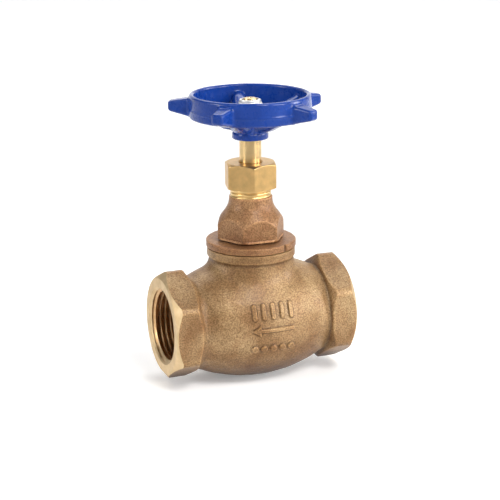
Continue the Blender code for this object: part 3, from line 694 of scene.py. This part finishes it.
class Shader:
    """A new material and short ways to add nodes to it; sizes are in millimetres."""

    def __init__(self, name, metallic, specular=0.5):
        self.material = bpy.data.materials.new(name)
        self.material.use_nodes = True
        self.tree = self.material.node_tree
        self.surface = self.tree.nodes["Principled BSDF"]
        set_inputs(self.surface, {"Metallic": metallic, "Specular IOR Level": specular})
        self.coordinates = self.tree.nodes.new("ShaderNodeTexCoord").outputs["Object"]

    def link(self, source, target):
        self.tree.links.new(source, target)

    def add(self, kind, source, socket, values):
        """New node with source linked to its socket and other inputs set to values."""
        node = self.tree.nodes.new("ShaderNode" + kind)
        self.link(source, node.inputs[socket])
        set_inputs(node, values)
        return node

    def noise(self, size, detail=3.0, roughness=0.55):
        """Noise whose features are about size wide."""
        values = {"Scale": 1 / (size * MM), "Detail": detail, "Roughness": roughness}
        return self.add("TexNoise", self.coordinates, "Vector", values).outputs["Fac"]

    def cells(self, size):
        """Distance from the middles of cells about size wide."""
        values = {"Scale": 1 / (size * MM)}
        return self.add("TexVoronoi", self.coordinates, "Vector", values).outputs["Distance"]

    def rings(self, axis, size):
        """Turning marks: rings about an axis, size apart."""
        values = {"Scale": math.tau / (20 * size * MM), "Distortion": 0.6, "Detail": 2}
        node = self.add("TexWave", self.coordinates, "Vector", values)
        node.wave_type = "RINGS"
        node.rings_direction = axis
        return node.outputs["Fac"]

    def height(self, low, high):
        """0 at the low and 1 at the high height."""
        split = self.add("SeparateXYZ", self.coordinates, "Vector", {})
        values = {"From Min": low * MM, "From Max": high * MM}
        return self.add("MapRange", split.outputs["Z"], "Value", values).outputs["Result"]

    def edge_highlight_and_crease_shade(self):
        """Pointiness, for painted shade and dirt in hollows and painted highlights on edges."""
        return self.tree.nodes.new("ShaderNodeNewGeometry").outputs["Pointiness"]

    def ramp(self, source, stops):
        """Colour of source by stops of position and colour."""
        node = colour_ramp(self.tree.nodes, stops)
        self.link(source, node.inputs["Fac"])
        return node.outputs["Color"]

    def multiply(self, first, second):
        """Product of two colours."""
        node = self.tree.nodes.new("ShaderNodeMix")
        node.data_type = "RGBA"
        node.blend_type = "MULTIPLY"
        node.inputs[0].default_value = 1
        self.link(first, node.inputs[6])
        self.link(second, node.inputs[7])
        return node.outputs[2]

    def scale(self, source, low, high):
        """Map 0..1 to low..high."""
        return self.add("MapRange", source, "Value", {"To Min": low, "To Max": high}).outputs["Result"]

    def bump(self, source, height, below=None):
        """Bump of the given height, on top of another bump."""
        node = self.add("Bump", source, "Height", {"Strength": 1, "Distance": height * MM})
        if below:
            self.link(below, node.inputs["Normal"])
        return node.outputs["Normal"]

    def coat(self, weight, roughness, ior):
        """Clear layer over the surface."""
        set_inputs(self.surface, {"Coat Weight": weight, "Coat Roughness": roughness, "Coat IOR": ior})

    def finish(self, colour, roughness, normal):
        """Link what varies over the surface; the result is the material."""
        self.link(colour, self.surface.inputs["Base Color"])
        self.link(roughness, self.surface.inputs["Roughness"])
        self.link(normal, self.surface.inputs["Normal"])
        return self.material


def shade(tone, factor):
    """Colour made darker or lighter."""
    return tuple(min(c * factor, 1) for c in tone)


def cast_bronze(name, dark, light, stain_colour):
    """Sand casting: blotches, stains and bright grains on sandy relief; painted shade below and in
    creases, painted edge highlights.
    """
    unstained_and_unshaded = (1.0, 1.0, 1.0)
    s = Shader(name, metallic=0.5, specular=0.2)
    s.coat(weight=0.35, roughness=0.36, ior=1.5)
    colour = s.ramp(s.noise(24, 3), [(0.36, dark), (0.64, light)])
    stain = s.ramp(s.noise(8, 3, 0.5), [(0.36, stain_colour), (0.56, unstained_and_unshaded)])
    grain = s.ramp(s.noise(0.6, 1, 0.5), [(0.32, (0.64, 0.58, 0.51)), (0.68, (1.34, 1.34, 1.30))])
    # painted shade: the colour darkens towards the bottom of the part, where shade falls under it
    painted_underside_shade = s.ramp(s.height(-26.5, -4), [(0.0, (0.16, 0.12, 0.09)), (0.25, (0.40, 0.34, 0.28)),
                                         (0.55, (0.82, 0.79, 0.75)), (1.0, unstained_and_unshaded)])
    # painted shade and dirt in hollows, painted highlight on edges, both from pointiness
    painted_edge_light_and_crease_shade = s.ramp(s.edge_highlight_and_crease_shade(), [(0.44, (0.24, 0.18, 0.15)), (0.49, unstained_and_unshaded), (0.55, (1.6, 1.6, 1.55))])
    for layer in (stain, grain, painted_underside_shade, painted_edge_light_and_crease_shade):
        colour = s.multiply(colour, layer)
    roughness = s.scale(s.noise(1.2, 2), 0.44, 0.66)
    sand = s.bump(s.noise(0.45, 3, 0.6), 0.16)
    return s.finish(colour, roughness, s.bump(s.noise(2.8, 3), 0.09, sand))


def machined_bronze(axis):
    """Bronze faced on a lathe, with turning marks about the axis."""
    s = Shader("machined_bronze_" + axis.lower(), metallic=1.0)
    colour = s.ramp(s.noise(5, 2), [(0.3, (0.58, 0.42, 0.23)), (0.7, (0.72, 0.55, 0.33))])
    roughness = s.scale(s.noise(0.8, 3), 0.48, 0.60)
    return s.finish(colour, roughness, s.bump(s.rings(axis, 0.3), 0.012))


def thread_bronze():
    """Cut thread, darker and shinier than the faces."""
    s = Shader("thread_bronze", metallic=1.0)
    colour = s.ramp(s.noise(3, 3), [(0.3, (0.50, 0.29, 0.13)), (0.7, (0.72, 0.48, 0.25))])
    roughness = s.scale(s.noise(0.6, 2), 0.26, 0.42)
    return s.finish(colour, roughness, s.bump(s.noise(0.3, 2), 0.02))


def brass(name, dullness, tone, marks, stretch=0.0):
    """Turned brass with turning marks of the given height; stretch draws its highlights out along Z."""
    s = Shader(name, metallic=1.0)
    if stretch:
        tangent = s.tree.nodes.new("ShaderNodeTangent")
        tangent.direction_type = "RADIAL"
        tangent.axis = "Z"
        s.link(tangent.outputs["Tangent"], s.surface.inputs["Tangent"])
        set_inputs(s.surface, {"Anisotropic": stretch, "Anisotropic Rotation": 0.25})
    colour = s.ramp(s.noise(3, 3), [(0.3, shade(tone, 0.86)), (0.7, shade(tone, 1.10))])
    roughness = s.scale(s.noise(1.5, 2), dullness * 0.9, dullness * 1.15)
    waves = s.bump(s.noise(1.6, 2), marks * 3)
    return s.finish(colour, roughness, s.bump(s.rings("Z", 0.25), marks, waves))


def blue_enamel():
    """Thick glossy enamel, slightly uneven."""
    s = Shader("blue_enamel", metallic=0.0, specular=0.18)
    s.coat(weight=0.5, roughness=0.06, ior=1.45)
    colour = s.ramp(s.noise(14, 2), [(0.3, (0.005, 0.038, 0.245)), (0.7, (0.008, 0.050, 0.300))])
    return s.finish(colour, s.scale(s.noise(2, 2), 0.22, 0.34), s.bump(s.noise(4.5, 2), 0.06))


def zinc():
    """Zinc-plated steel."""
    s = Shader("zinc_steel", metallic=1.0)
    colour = s.ramp(s.noise(1.5, 3), [(0.3, (0.80, 0.79, 0.75)), (0.7, (0.92, 0.91, 0.88))])
    return s.finish(colour, s.scale(s.noise(0.5, 3), 0.42, 0.54), s.bump(s.noise(0.4, 2), 0.01))


def plain(name, tone, dullness, grain, relief):
    """Non-metal with a fine grain, for the sealed inner pieces."""
    s = Shader(name, metallic=0.0)
    colour = s.ramp(s.noise(grain, 4), [(0.35, shade(tone, 0.8)), (0.65, shade(tone, 1.15))])
    roughness = s.scale(s.noise(grain * 2, 2), dullness * 0.85, min(dullness * 1.15, 1))
    return s.finish(colour, roughness, s.bump(s.cells(grain * 1.5), relief))


MATERIALS = {
    "cast": cast_bronze("cast_bronze", (0.220, 0.123, 0.052), (0.365, 0.246, 0.128), (0.88, 0.81, 0.76)),
    "cast_bonnet": cast_bronze("cast_bronze_bonnet", (0.225, 0.112, 0.049), (0.330, 0.184, 0.088),
                               (0.84, 0.76, 0.72)),
    "machined_x": machined_bronze("X"),
    "machined_z": machined_bronze("Z"),
    "thread": thread_bronze(),
    "stem": brass("stem_brass", 0.25, (0.84, 0.60, 0.29), 0.0003, 0.80),
    "nut": brass("gland_brass", 0.34, (0.68, 0.435, 0.175), 0.012),
    "neck": brass("neck_brass", 0.30, (0.86, 0.62, 0.28), 0.004),
    "inner": brass("inner_brass", 0.30, (0.74, 0.53, 0.26), 0.006),
    "blue": blue_enamel(),
    "zinc": zinc(),
    "nylon": plain("nylon_dark", (0.03, 0.028, 0.026), 0.5, 0.4, 0.01),
    "fibre": plain("gasket_fibre", (0.07, 0.09, 0.08), 0.85, 0.5, 0.05),
    "packing": plain("braided_packing", (0.60, 0.58, 0.52), 0.8, 0.9, 0.10),
    "ptfe": plain("white_ptfe", (0.80, 0.80, 0.78), 0.45, 1.0, 0.01),
}


# ---- body

def facing_cutter(side):
    """Cutter that leaves a pipe end's flat face and the chamfer outside it."""
    reach = 32.0  # radius beyond the hexagon's corners
    beyond = FACE + 6
    slope = math.tan(math.radians(FACE_SLOPE))
    outline = [(0, FACE), (FACE_RING, FACE), (reach, FACE - (reach - FACE_RING) * slope),
               (reach, beyond), (0, beyond)]
    return revolve("facing", [(radius, side * x) for radius, x in outline], along_x=True)


def port_cutters(side, tunnel_end):
    """Cutters of one port in the order of their cuts: tunnel, pipe thread, countersink."""
    over = 0.5  # how far one cutter runs into the next
    core = PORT_MINOR - over
    core_start = FACE - PORT_DEPTH + over
    core_stop = FACE - 3
    outline = [(0, abs(tunnel_end)), (TUNNEL_RADIUS, abs(tunnel_end)), (TUNNEL_RADIUS, core_start),
               (core, core_start), (core, core_stop), (0, core_stop)]
    tunnel = revolve("tunnel", [(radius, side * x) for radius, x in outline], along_x=True)
    low, high = sorted((side * (FACE - PORT_DEPTH), side * (FACE + 1)))
    flat = 0.14  # half the width of the rounded crest
    shoulder = PORT_MAJOR - 0.12
    tooth = [(PORT_MINOR, flat - PORT_PITCH / 2), (shoulder, -flat), (PORT_MAJOR, -flat / 2),
             (PORT_MAJOR, flat / 2), (shoulder, flat), (PORT_MINOR, PORT_PITCH / 2 - flat)]
    screw = thread("screw", tooth, PORT_PITCH, low, high, SMOOTH, along_x=True)
    limit = cylinder("limit", PORT_MAJOR + 1, low, high, HIDDEN, along_x=True)
    combine(screw, limit, "INTERSECT")
    cone_start = FACE - PORT_MOUTH + core - 1
    outline = [(0, cone_start), (core - 1, cone_start), (PORT_MOUTH + over, FACE + over), (0, FACE + over)]
    mouth = revolve("mouth", [(radius, side * x) for radius, x in outline], along_x=True)
    return tunnel, screw, mouth


def chamber_cutter():
    """Lower chamber, seat, upper chamber and the gasket's counterbore."""
    bevel = 2  # of the lower chamber's floor
    step = 0.5  # from the lower chamber's top into the seat's bore
    above = COLLAR_TOP + 2
    return revolve("chambers", [
        (0, LOWER_CHAMBER_FLOOR), (LOWER_CHAMBER_RADIUS - bevel, LOWER_CHAMBER_FLOOR),
        (LOWER_CHAMBER_RADIUS, LOWER_CHAMBER_FLOOR + bevel), (LOWER_CHAMBER_RADIUS, LOWER_CHAMBER_TOP),
        (SEAT_BORE, LOWER_CHAMBER_TOP + step), (SEAT_BORE, SEAT_TOP), (SEAT_OUTER, SEAT_TOP),
        (SEAT_OUTER, CHAMBER_FLOOR), (CHAMBER_RADIUS, CHAMBER_FLOOR), (CHAMBER_RADIUS, GASKET_SEAT),
        (GASKET_SEAT_RADIUS, GASKET_SEAT), (GASKET_SEAT_RADIUS, above), (0, above)])


def under_seat_cutter():
    """Lower part of the inlet's tunnel, carried on to the lower chamber."""
    steps = 48
    chord = math.acos(LOWER_CHAMBER_TOP / -TUNNEL_RADIUS)
    angles = [chord * (2 * k / steps - 1) for k in range(steps + 1)]
    outline = [(TUNNEL_RADIUS * math.cos(a), TUNNEL_RADIUS * math.sin(a)) for a in angles]
    return prism("under_seat", outline, 0, INLET_TUNNEL_END + 0.3, along_x=True)


def rough_body():
    """Barrel, neck and hexagons as plain overlapping solids."""
    steps = 12
    places = [BARREL_END * (2 * k / steps - 1) for k in range(steps + 1)]
    barrel = [(float(belly_radius(x)), x) for x in places]
    return [revolve("belly", [(0, -BARREL_END), *barrel, (0, BARREL_END)], HIDDEN, along_x=True),
            cylinder("neck", COLLAR_RADIUS, 0, COLLAR_TOP + COLLAR_STOCK, HIDDEN),
            prism("left", polygon(6, HEX_FLATS, 0), -FACE - FACE_STOCK, -HEX_INNER, along_x=True),
            prism("right", polygon(6, HEX_FLATS, 0), HEX_INNER, FACE + FACE_STOCK, along_x=True)]


def among_marks(centre):
    """Whether a face lies where the foundry marks are, which need a finer mesh."""
    reach, front, low, high = MARK_FIELD
    return abs(centre.x) < reach and centre.y < front and low < centre.z < high


def make_body():
    cast, faced, bored, screwed = range(4)
    body = cast_skin("cast_body", rough_body(), body_field, voxel=0.55, finer=among_marks)
    roughen(body, height=0.10, size=5.0, seed=3.7)
    combine(body, cylinder("lid", 25, COLLAR_TOP, COLLAR_TOP + 3), "DIFFERENCE", bored)
    combine(body, chamber_cutter(), "DIFFERENCE", bored)
    combine(body, under_seat_cutter(), "DIFFERENCE", cast)
    for side, tunnel_end in ((-1, OUTLET_TUNNEL_END), (1, INLET_TUNNEL_END)):
        tunnel, screw, mouth = port_cutters(side, tunnel_end)
        combine(body, facing_cutter(side), "DIFFERENCE", faced)
        combine(body, tunnel, "DIFFERENCE", cast)
        combine(body, screw, "DIFFERENCE", screwed)
        combine(body, mouth, "DIFFERENCE", faced)
    finishes = [MATERIALS[name] for name in ("cast", "machined_x", "machined_z", "thread")]
    place(body, "valve_body", "body", finishes, sharp=38)


# ---- bonnet

def rough_bonnet():
    """Skirt, flange, waist, neck and hexagon as plain overlapping solids."""
    slim = 9.3  # radius at the bell's top
    turned = [(0, SKIRT_BOTTOM), (SKIRT_RADIUS, SKIRT_BOTTOM), (SKIRT_RADIUS, FLANGE_BOTTOM),
              (FLANGE_RADIUS, FLANGE_BOTTOM), (FLANGE_RADIUS, FLANGE_TOP), (WAIST_RADIUS, FLANGE_TOP),
              (WAIST_RADIUS, 46), (slim, 51), (slim, BELL_TOP), (0, BELL_TOP)]
    return [revolve("turned", turned, HIDDEN),
            prism("hex", polygon(6, BONNET_HEX_FLATS, BONNET_HEX_CORNER), BONNET_HEX_BOTTOM, 45)]


def threaded_neck():
    """Neck that the gland nut screws onto, in material slot 1."""
    low = BELL_TOP - 1
    high = NECK_TOP - 0.5
    neck = cylinder("neck", NECK_CORE, low - 1, NECK_TOP, FINE)
    foot = NECK_CORE + 0.02
    shoulder = NECK_THREAD - 0.1
    tooth = [(foot, -NECK_PITCH * 0.42), (shoulder, -NECK_PITCH * 0.22), (NECK_THREAD, 0),
             (shoulder, NECK_PITCH * 0.22), (foot, NECK_PITCH * 0.42)]
    screw = thread("screw", tooth, NECK_PITCH, low, high, FINE)
    combine(screw, cylinder("limit", NECK_THREAD + 3, low, high, HIDDEN), "INTERSECT", 1)
    combine(neck, screw, "UNION", 1)
    return neck


def bonnet_bore():
    """From the skirt up through the stem nut's bore and the back seat to the stuffing box."""
    nut_bottom, nut_top = STEM_NUT_ENDS
    below = SKIRT_BOTTOM - 1
    above = NECK_TOP + 1
    return revolve("bore", [
        (0, below), (SKIRT_INNER, below), (SKIRT_INNER, nut_bottom - 2), (SKIRT_INNER - 2.5, nut_bottom),
        (STEM_NUT_BORE, nut_bottom), (STEM_NUT_BORE, nut_top), (BACK_SEAT_RADIUS, nut_top),
        (BACK_SEAT_RADIUS, BACK_SEAT), (STEM_HOLE, BACK_SEAT), (STEM_HOLE, STUFFING_FLOOR),
        (STUFFING_RADIUS, STUFFING_FLOOR), (STUFFING_RADIUS, above), (0, above)], FINE)


def make_bonnet():
    bonnet = cast_skin("cast_bonnet", rough_bonnet(), bonnet_field, voxel=0.29)
    roughen(bonnet, height=0.07, size=4.0, seed=8.1)
    combine(bonnet, threaded_neck(), "UNION", 1)
    combine(bonnet, bonnet_bore(), "DIFFERENCE", 1)
    finishes = [MATERIALS["cast_bonnet"], MATERIALS["neck"]]
    place(bonnet, "valve_body", "bonnet", finishes, sharp=38)


# ---- gland nut and stem

def make_gland_nut():
    rough = [prism("hex", polygon(6, GLAND_FLATS, GLAND_CORNER), GLAND_BOTTOM, GLAND_TOP)]
    nut = cast_skin("turned_gland_nut", rough, gland_field, voxel=0.24)
    below = GLAND_BOTTOM - 1
    above = GLAND_TOP + 1
    bore = revolve("bore", [
        (0, below), (GLAND_BORE + 0.6, below), (GLAND_BORE, GLAND_BOTTOM + 0.6),
        (GLAND_BORE, GLAND_CEILING), (STEM_HOLE, GLAND_CEILING), (STEM_HOLE, GLAND_TOP - 0.4),
        (STEM_HOLE + 1.4, above), (0, above)], FINE)
    combine(nut, bore, "DIFFERENCE")
    place(nut, "valve_body", "gland_nut", [MATERIALS["nut"]], sharp=40)


def stem_outline():
    """Turned outline of the stem from its button to its tip, with small bevels."""
    bevel = 0.4
    undercut = 0.7  # from the lower neck to the waist
    low, high = STEM_SCREW
    waist_top = high - 3
    button = [(0, BUTTON_BOTTOM), (BUTTON_RADIUS - bevel, BUTTON_BOTTOM),
              (BUTTON_RADIUS, BUTTON_BOTTOM + bevel), (BUTTON_RADIUS, BUTTON_TOP - bevel),
              (BUTTON_RADIUS - bevel, BUTTON_TOP)]
    shaft = [(STEM_NECK + bevel, BUTTON_TOP), (STEM_NECK, BUTTON_TOP + bevel), (STEM_NECK, low + 0.5),
             (STEM_WAIST, low + 0.5 + undercut), (STEM_WAIST, waist_top), (STEM_RADIUS, waist_top + 0.5),
             (STEM_RADIUS, STEM_SHOULDER - bevel), (STEM_RADIUS - bevel, STEM_SHOULDER)]
    tip = [(TIP_RADIUS, STEM_SHOULDER), (TIP_RADIUS, TIP_TOP - 0.35), (TIP_RADIUS - 0.1, TIP_TOP - 0.1),
           (TIP_RADIUS - 0.35, TIP_TOP), (TIP_DIMPLE, TIP_TOP), (TIP_DIMPLE - 0.4, TIP_TOP - 0.6),
           (0, TIP_TOP - 0.6)]
    return button + shaft + tip


def stem_screw():
    """Trapezoidal thread with tapering ends."""
    low, high = STEM_SCREW
    wide = STEM_PITCH / 4 + 0.8 * STEM_LEAN
    narrow = STEM_PITCH / 4 - 0.8 * STEM_LEAN
    tooth = [(STEM_ROOT, -wide), (STEM_CREST, -narrow), (STEM_CREST, narrow), (STEM_ROOT, wide)]
    screw = thread("screw", tooth, STEM_PITCH, low, high, HIDDEN)
    outer = STEM_CREST + 0.1
    taper = 1.7
    limit = revolve("limit", [(0, low), (STEM_ROOT, low), (outer, low + taper), (outer, high - taper),
                              (STEM_ROOT, high), (0, high)], HIDDEN)
    combine(screw, limit, "INTERSECT")
    return screw


def make_stem():
    stem = revolve("turned_stem", stem_outline(), FINE)
    combine(stem, stem_screw(), "UNION")
    square = prism("square", polygon(4, SQUARE_FLATS, FIRST_LOBE), STEM_SHOULDER - 2, SQUARE_TOP)
    combine(stem, square, "UNION")
    place(stem, "stem_and_wheel", "stem", [MATERIALS["stem"]])


# ---- handwheel and its nut

def spoke(outline, half, turn):
    """Plate with an outline of (radius, height) points, reaching half to either side, turned in place."""
    bm = bmesh.new()
    sides = [[bm.verts.new((r, across, z)) for r, z in outline] for across in (-half, half)]
    bm.faces.new(sides[0])
    bm.faces.new(sides[1])
    bridge(bm, sides[0], sides[1])
    bmesh.ops.rotate(bm, verts=bm.verts, matrix=turn)
    return object_from(bm, "spoke")


def rough_wheel():
    """Rim, hub, arms and lobes as plain overlapping solids."""
    rim = [(RIM_INNER, RIM_BOTTOM), (RIM_OUTER, RIM_BOTTOM), (RIM_OUTER, RIM_TOP), (RIM_INNER, RIM_TOP)]
    hub = [(0, HUB_BOTTOM), (HUB_COLLAR_RADIUS, HUB_BOTTOM), (HUB_COLLAR_RADIUS, HUB_COLLAR_TOP),
           (HUB_RADIUS, HUB_COLLAR_TOP), (HUB_RADIUS, HUB_TOP), (0, HUB_TOP)]
    pieces = [revolve("rim", rim, facets=96), revolve("hub", hub, facets=48)]
    arm = ARM_BOTTOM + ARM_TOP[::-1]
    lobe = []
    for along, side in ((LOBE_ROOT, -1), (LOBE_TIP, -1), (LOBE_TIP, 1), (LOBE_ROOT, 1)):
        middle, half_height, _ = lobe_section(along)
        lobe.append((along, middle + side * half_height))
    for k in range(LOBES):
        turn = Matrix.Rotation(math.radians(FIRST_LOBE + 360 / LOBES * k), 3, "Z")
        pieces.append(spoke(arm, half=3.3, turn=turn))
        pieces.append(spoke(lobe, half=2.8, turn=turn))
    return pieces


def make_handwheel():
    wheel = cast_skin("enamelled_handwheel", rough_wheel(), wheel_field, voxel=0.45, rounds=4)
    roughen(wheel, height=0.05, size=6.0, seed=1.9)
    below = HUB_BOTTOM - 1
    hole = prism("square", polygon(4, SQUARE_HOLE, FIRST_LOBE), below, HUB_TOP + 1)
    combine(wheel, hole, "DIFFERENCE")
    combine(wheel, cylinder("seat", STEM_HOLE, below, STEM_SHOULDER + 0.3, HIDDEN), "DIFFERENCE")
    place(wheel, "stem_and_wheel", "handwheel", [MATERIALS["blue"]], sharp=60)


def make_wheel_nut():
    rough = [prism("hex", polygon(6, NUT_FLATS, NUT_CORNER), NUT_BOTTOM, NUT_HEX_TOP),
             cylinder("collar", NUT_COLLAR, NUT_BOTTOM + 1, NUT_TOP, facets=48)]
    nut = cast_skin("locking_nut", rough, nut_field, voxel=0.16)
    below = NUT_BOTTOM - 1
    above = NUT_TOP + 1
    ledge = INSERT_BOTTOM - 0.3
    bore = revolve("bore", [
        (0, below), (NUT_BORE, below), (NUT_BORE, ledge), (NUT_COUNTERBORE, ledge),
        (NUT_COUNTERBORE, NUT_TOP - 0.4), (NUT_LIP, NUT_TOP - 0.2), (NUT_LIP + 0.15, above),
        (0, above)], FINE)
    combine(nut, bore, "DIFFERENCE")
    place(nut, "stem_and_wheel", "wheel_nut", [MATERIALS["zinc"]], sharp=45)


def make_nut_insert():
    """Nylon ring that locks the nut, with its upper edges bevelled."""
    bevel = 0.2
    ring = revolve("locking_ring", [
        (NUT_BORE, INSERT_BOTTOM), (INSERT_OUTER, INSERT_BOTTOM), (INSERT_OUTER, INSERT_TOP - bevel),
        (INSERT_OUTER - bevel, INSERT_TOP), (NUT_BORE + bevel, INSERT_TOP),
        (NUT_BORE, INSERT_TOP - bevel)], FINE)
    place(ring, "stem_and_wheel", "wheel_nut_insert", [MATERIALS["nylon"]])


def make_washer():
    """Plain washer with all its edges broken."""
    inner, outer = 0.1, 0.15  # bevels
    washer = revolve("plain_washer", [
        (WASHER_INNER, WASHER_BOTTOM + inner), (WASHER_INNER + inner, WASHER_BOTTOM),
        (WASHER_OUTER - outer, WASHER_BOTTOM), (WASHER_OUTER, WASHER_BOTTOM + outer),
        (WASHER_OUTER, WASHER_TOP - outer), (WASHER_OUTER - outer, WASHER_TOP),
        (WASHER_INNER + inner, WASHER_TOP), (WASHER_INNER, WASHER_TOP - inner)], FINE)
    place(washer, "stem_and_wheel", "wheel_washer", [MATERIALS["zinc"]])


# ---- pieces that keep their CAD shape

def dress_inner_nodes():
    """Give the CAD's inner pieces their materials."""
    finishes = {"bonnet_gasket": "fibre", "seat_disc": "ptfe"}
    for node in ("gland_follower", "packing_washer", "disc_holder", "disc_washer", "disc_nut", "lock_nut"):
        finishes[node] = "inner"
    for k in range(1, 5):
        finishes[f"packing_ring_{k}"] = "packing"
    for node, finish in finishes.items():
        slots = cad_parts[node].data.materials
        slots.clear()
        slots.append(MATERIALS[finish])


# ---- stage, light and camera

def softbox(name, turn, distance, height, aim, size, power, spread):
    """Area light, turned to the right of the camera as seen from above; turn and spread in degrees."""
    data = bpy.data.lights.new(name, "AREA")
    data.shape = "RECTANGLE"
    data.size, data.size_y = size
    data.energy = power
    data.spread = math.radians(spread)
    light = new_object(name, data)
    angle = math.radians(turn - 90 - CAMERA_AZIMUTH)
    light.location = (distance * math.cos(angle), distance * math.sin(angle), height)
    direction = Vector(aim) - light.location
    light.rotation_euler = direction.to_track_quat("-Z", "Y").to_euler()


def greys(stops):
    """Stops of position and colour from stops of position and brightness."""
    return [(position, [brightness] * 3) for position, brightness in stops]


def floor_material():
    """Matt white with a painted glow: emission that brightens it a little under the valve and far from it.
    """
    s = Shader("floor_white", metallic=0.0)
    set_inputs(s.surface, {"Base Color": (0.97, 0.97, 0.97, 1), "Roughness": 0.9,
                           "Emission Color": (1, 1, 1, 1)})
    distance = s.add("VectorMath", s.coordinates, 0, {})
    distance.operation = "LENGTH"
    # painted light: emission by distance from the valve, so the floor glows though it is no lamp
    glow = s.ramp(distance.outputs["Value"], greys(FLOOR_GLOW))
    s.link(glow, s.surface.inputs["Emission Strength"])
    return s.material


def make_floor():
    bpy.ops.mesh.primitive_plane_add(size=FLOOR_SIZE, location=(0, 0, CAD_BOX[0][2] - FLOOR_GAP))
    floor = bpy.context.active_object
    floor.name = "floor"
    floor.data.materials.append(floor_material())


def make_sky():
    """Pale backdrop up to a little above the horizon, and a dim room over it."""
    world = bpy.data.worlds.new("studio")
    world.use_nodes = True
    nodes, links = world.node_tree.nodes, world.node_tree.links
    direction = nodes.new("ShaderNodeTexCoord")
    upward = nodes.new("ShaderNodeSeparateXYZ")
    sky = colour_ramp(nodes, greys(SKY))
    links.new(direction.outputs["Generated"], upward.inputs["Vector"])
    links.new(upward.outputs["Z"], sky.inputs["Fac"])
    links.new(sky.outputs["Color"], nodes["Background"].inputs["Color"])
    bpy.context.scene.world = world


def make_lights():
    """Softboxes to both sides, a bright backdrop and a lamp that whitens the floor behind."""
    middle = (0, 0, 0.03)
    front = (0.012, -0.02, 0.015)
    behind = (0.2, 0.55, 0)
    boxes = [  # name, turn, distance, height, aim, size, power and spread
        ("right", 58, 1.0, 0.32, middle, (0.62, 0.6), 0.53, 32),
        ("far_right", 95, 1.0, 0.32, middle, (0.5, 0.6), 0.40, 32),
        ("near_right", 32, 0.42, 0.45, front, (0.22, 0.22), 0.116, 32),
        ("left", -68, 0.95, 0.32, middle, (0.72, 0.6), 0.43, 32),
        ("near_left", -40, 0.75, 0.80, middle, (0.4, 0.4), 0.06, 32),
        ("backdrop", 180, 1.5, 0.5, middle, (2.4, 0.9), 2.6, 120),
        ("floor_light", 180, 0.9, 1.1, behind, (1.8, 0.8), 9.0, 120)]
    for box in boxes:
        softbox(*box)


def make_camera():
    elevation = math.radians(CAMERA_ELEVATION)
    azimuth = math.radians(CAMERA_AZIMUTH)
    back = Vector((-math.sin(azimuth) * math.cos(elevation), -math.cos(azimuth) * math.cos(elevation),
                   math.sin(elevation)))
    right = Vector((math.cos(azimuth), -math.sin(azimuth), 0))
    turn = Matrix((right, back.cross(right), back)).transposed().to_4x4()
    roll = Matrix.Rotation(math.radians(CAMERA_ROLL), 4, "Z")
    target = Vector((0, 0, CAMERA_HEIGHT)) - right * CAMERA_SIDESTEP
    data = bpy.data.cameras.new("camera")
    data.sensor_width = 36
    data.lens = CAMERA_LENS
    data.clip_start = 0.01
    camera = new_object("camera", data)
    camera.matrix_world = Matrix.Translation(target + back * CAMERA_DISTANCE) @ turn @ roll
    bpy.context.scene.camera = camera


bpy.context.scene.view_settings.view_transform = "Standard"
make_camera()
make_floor()
make_sky()
make_lights()
make_body()
make_bonnet()
make_gland_nut()
make_stem()
make_handwheel()
make_wheel_nut()
make_nut_insert()
make_washer()
dress_inner_nodes()
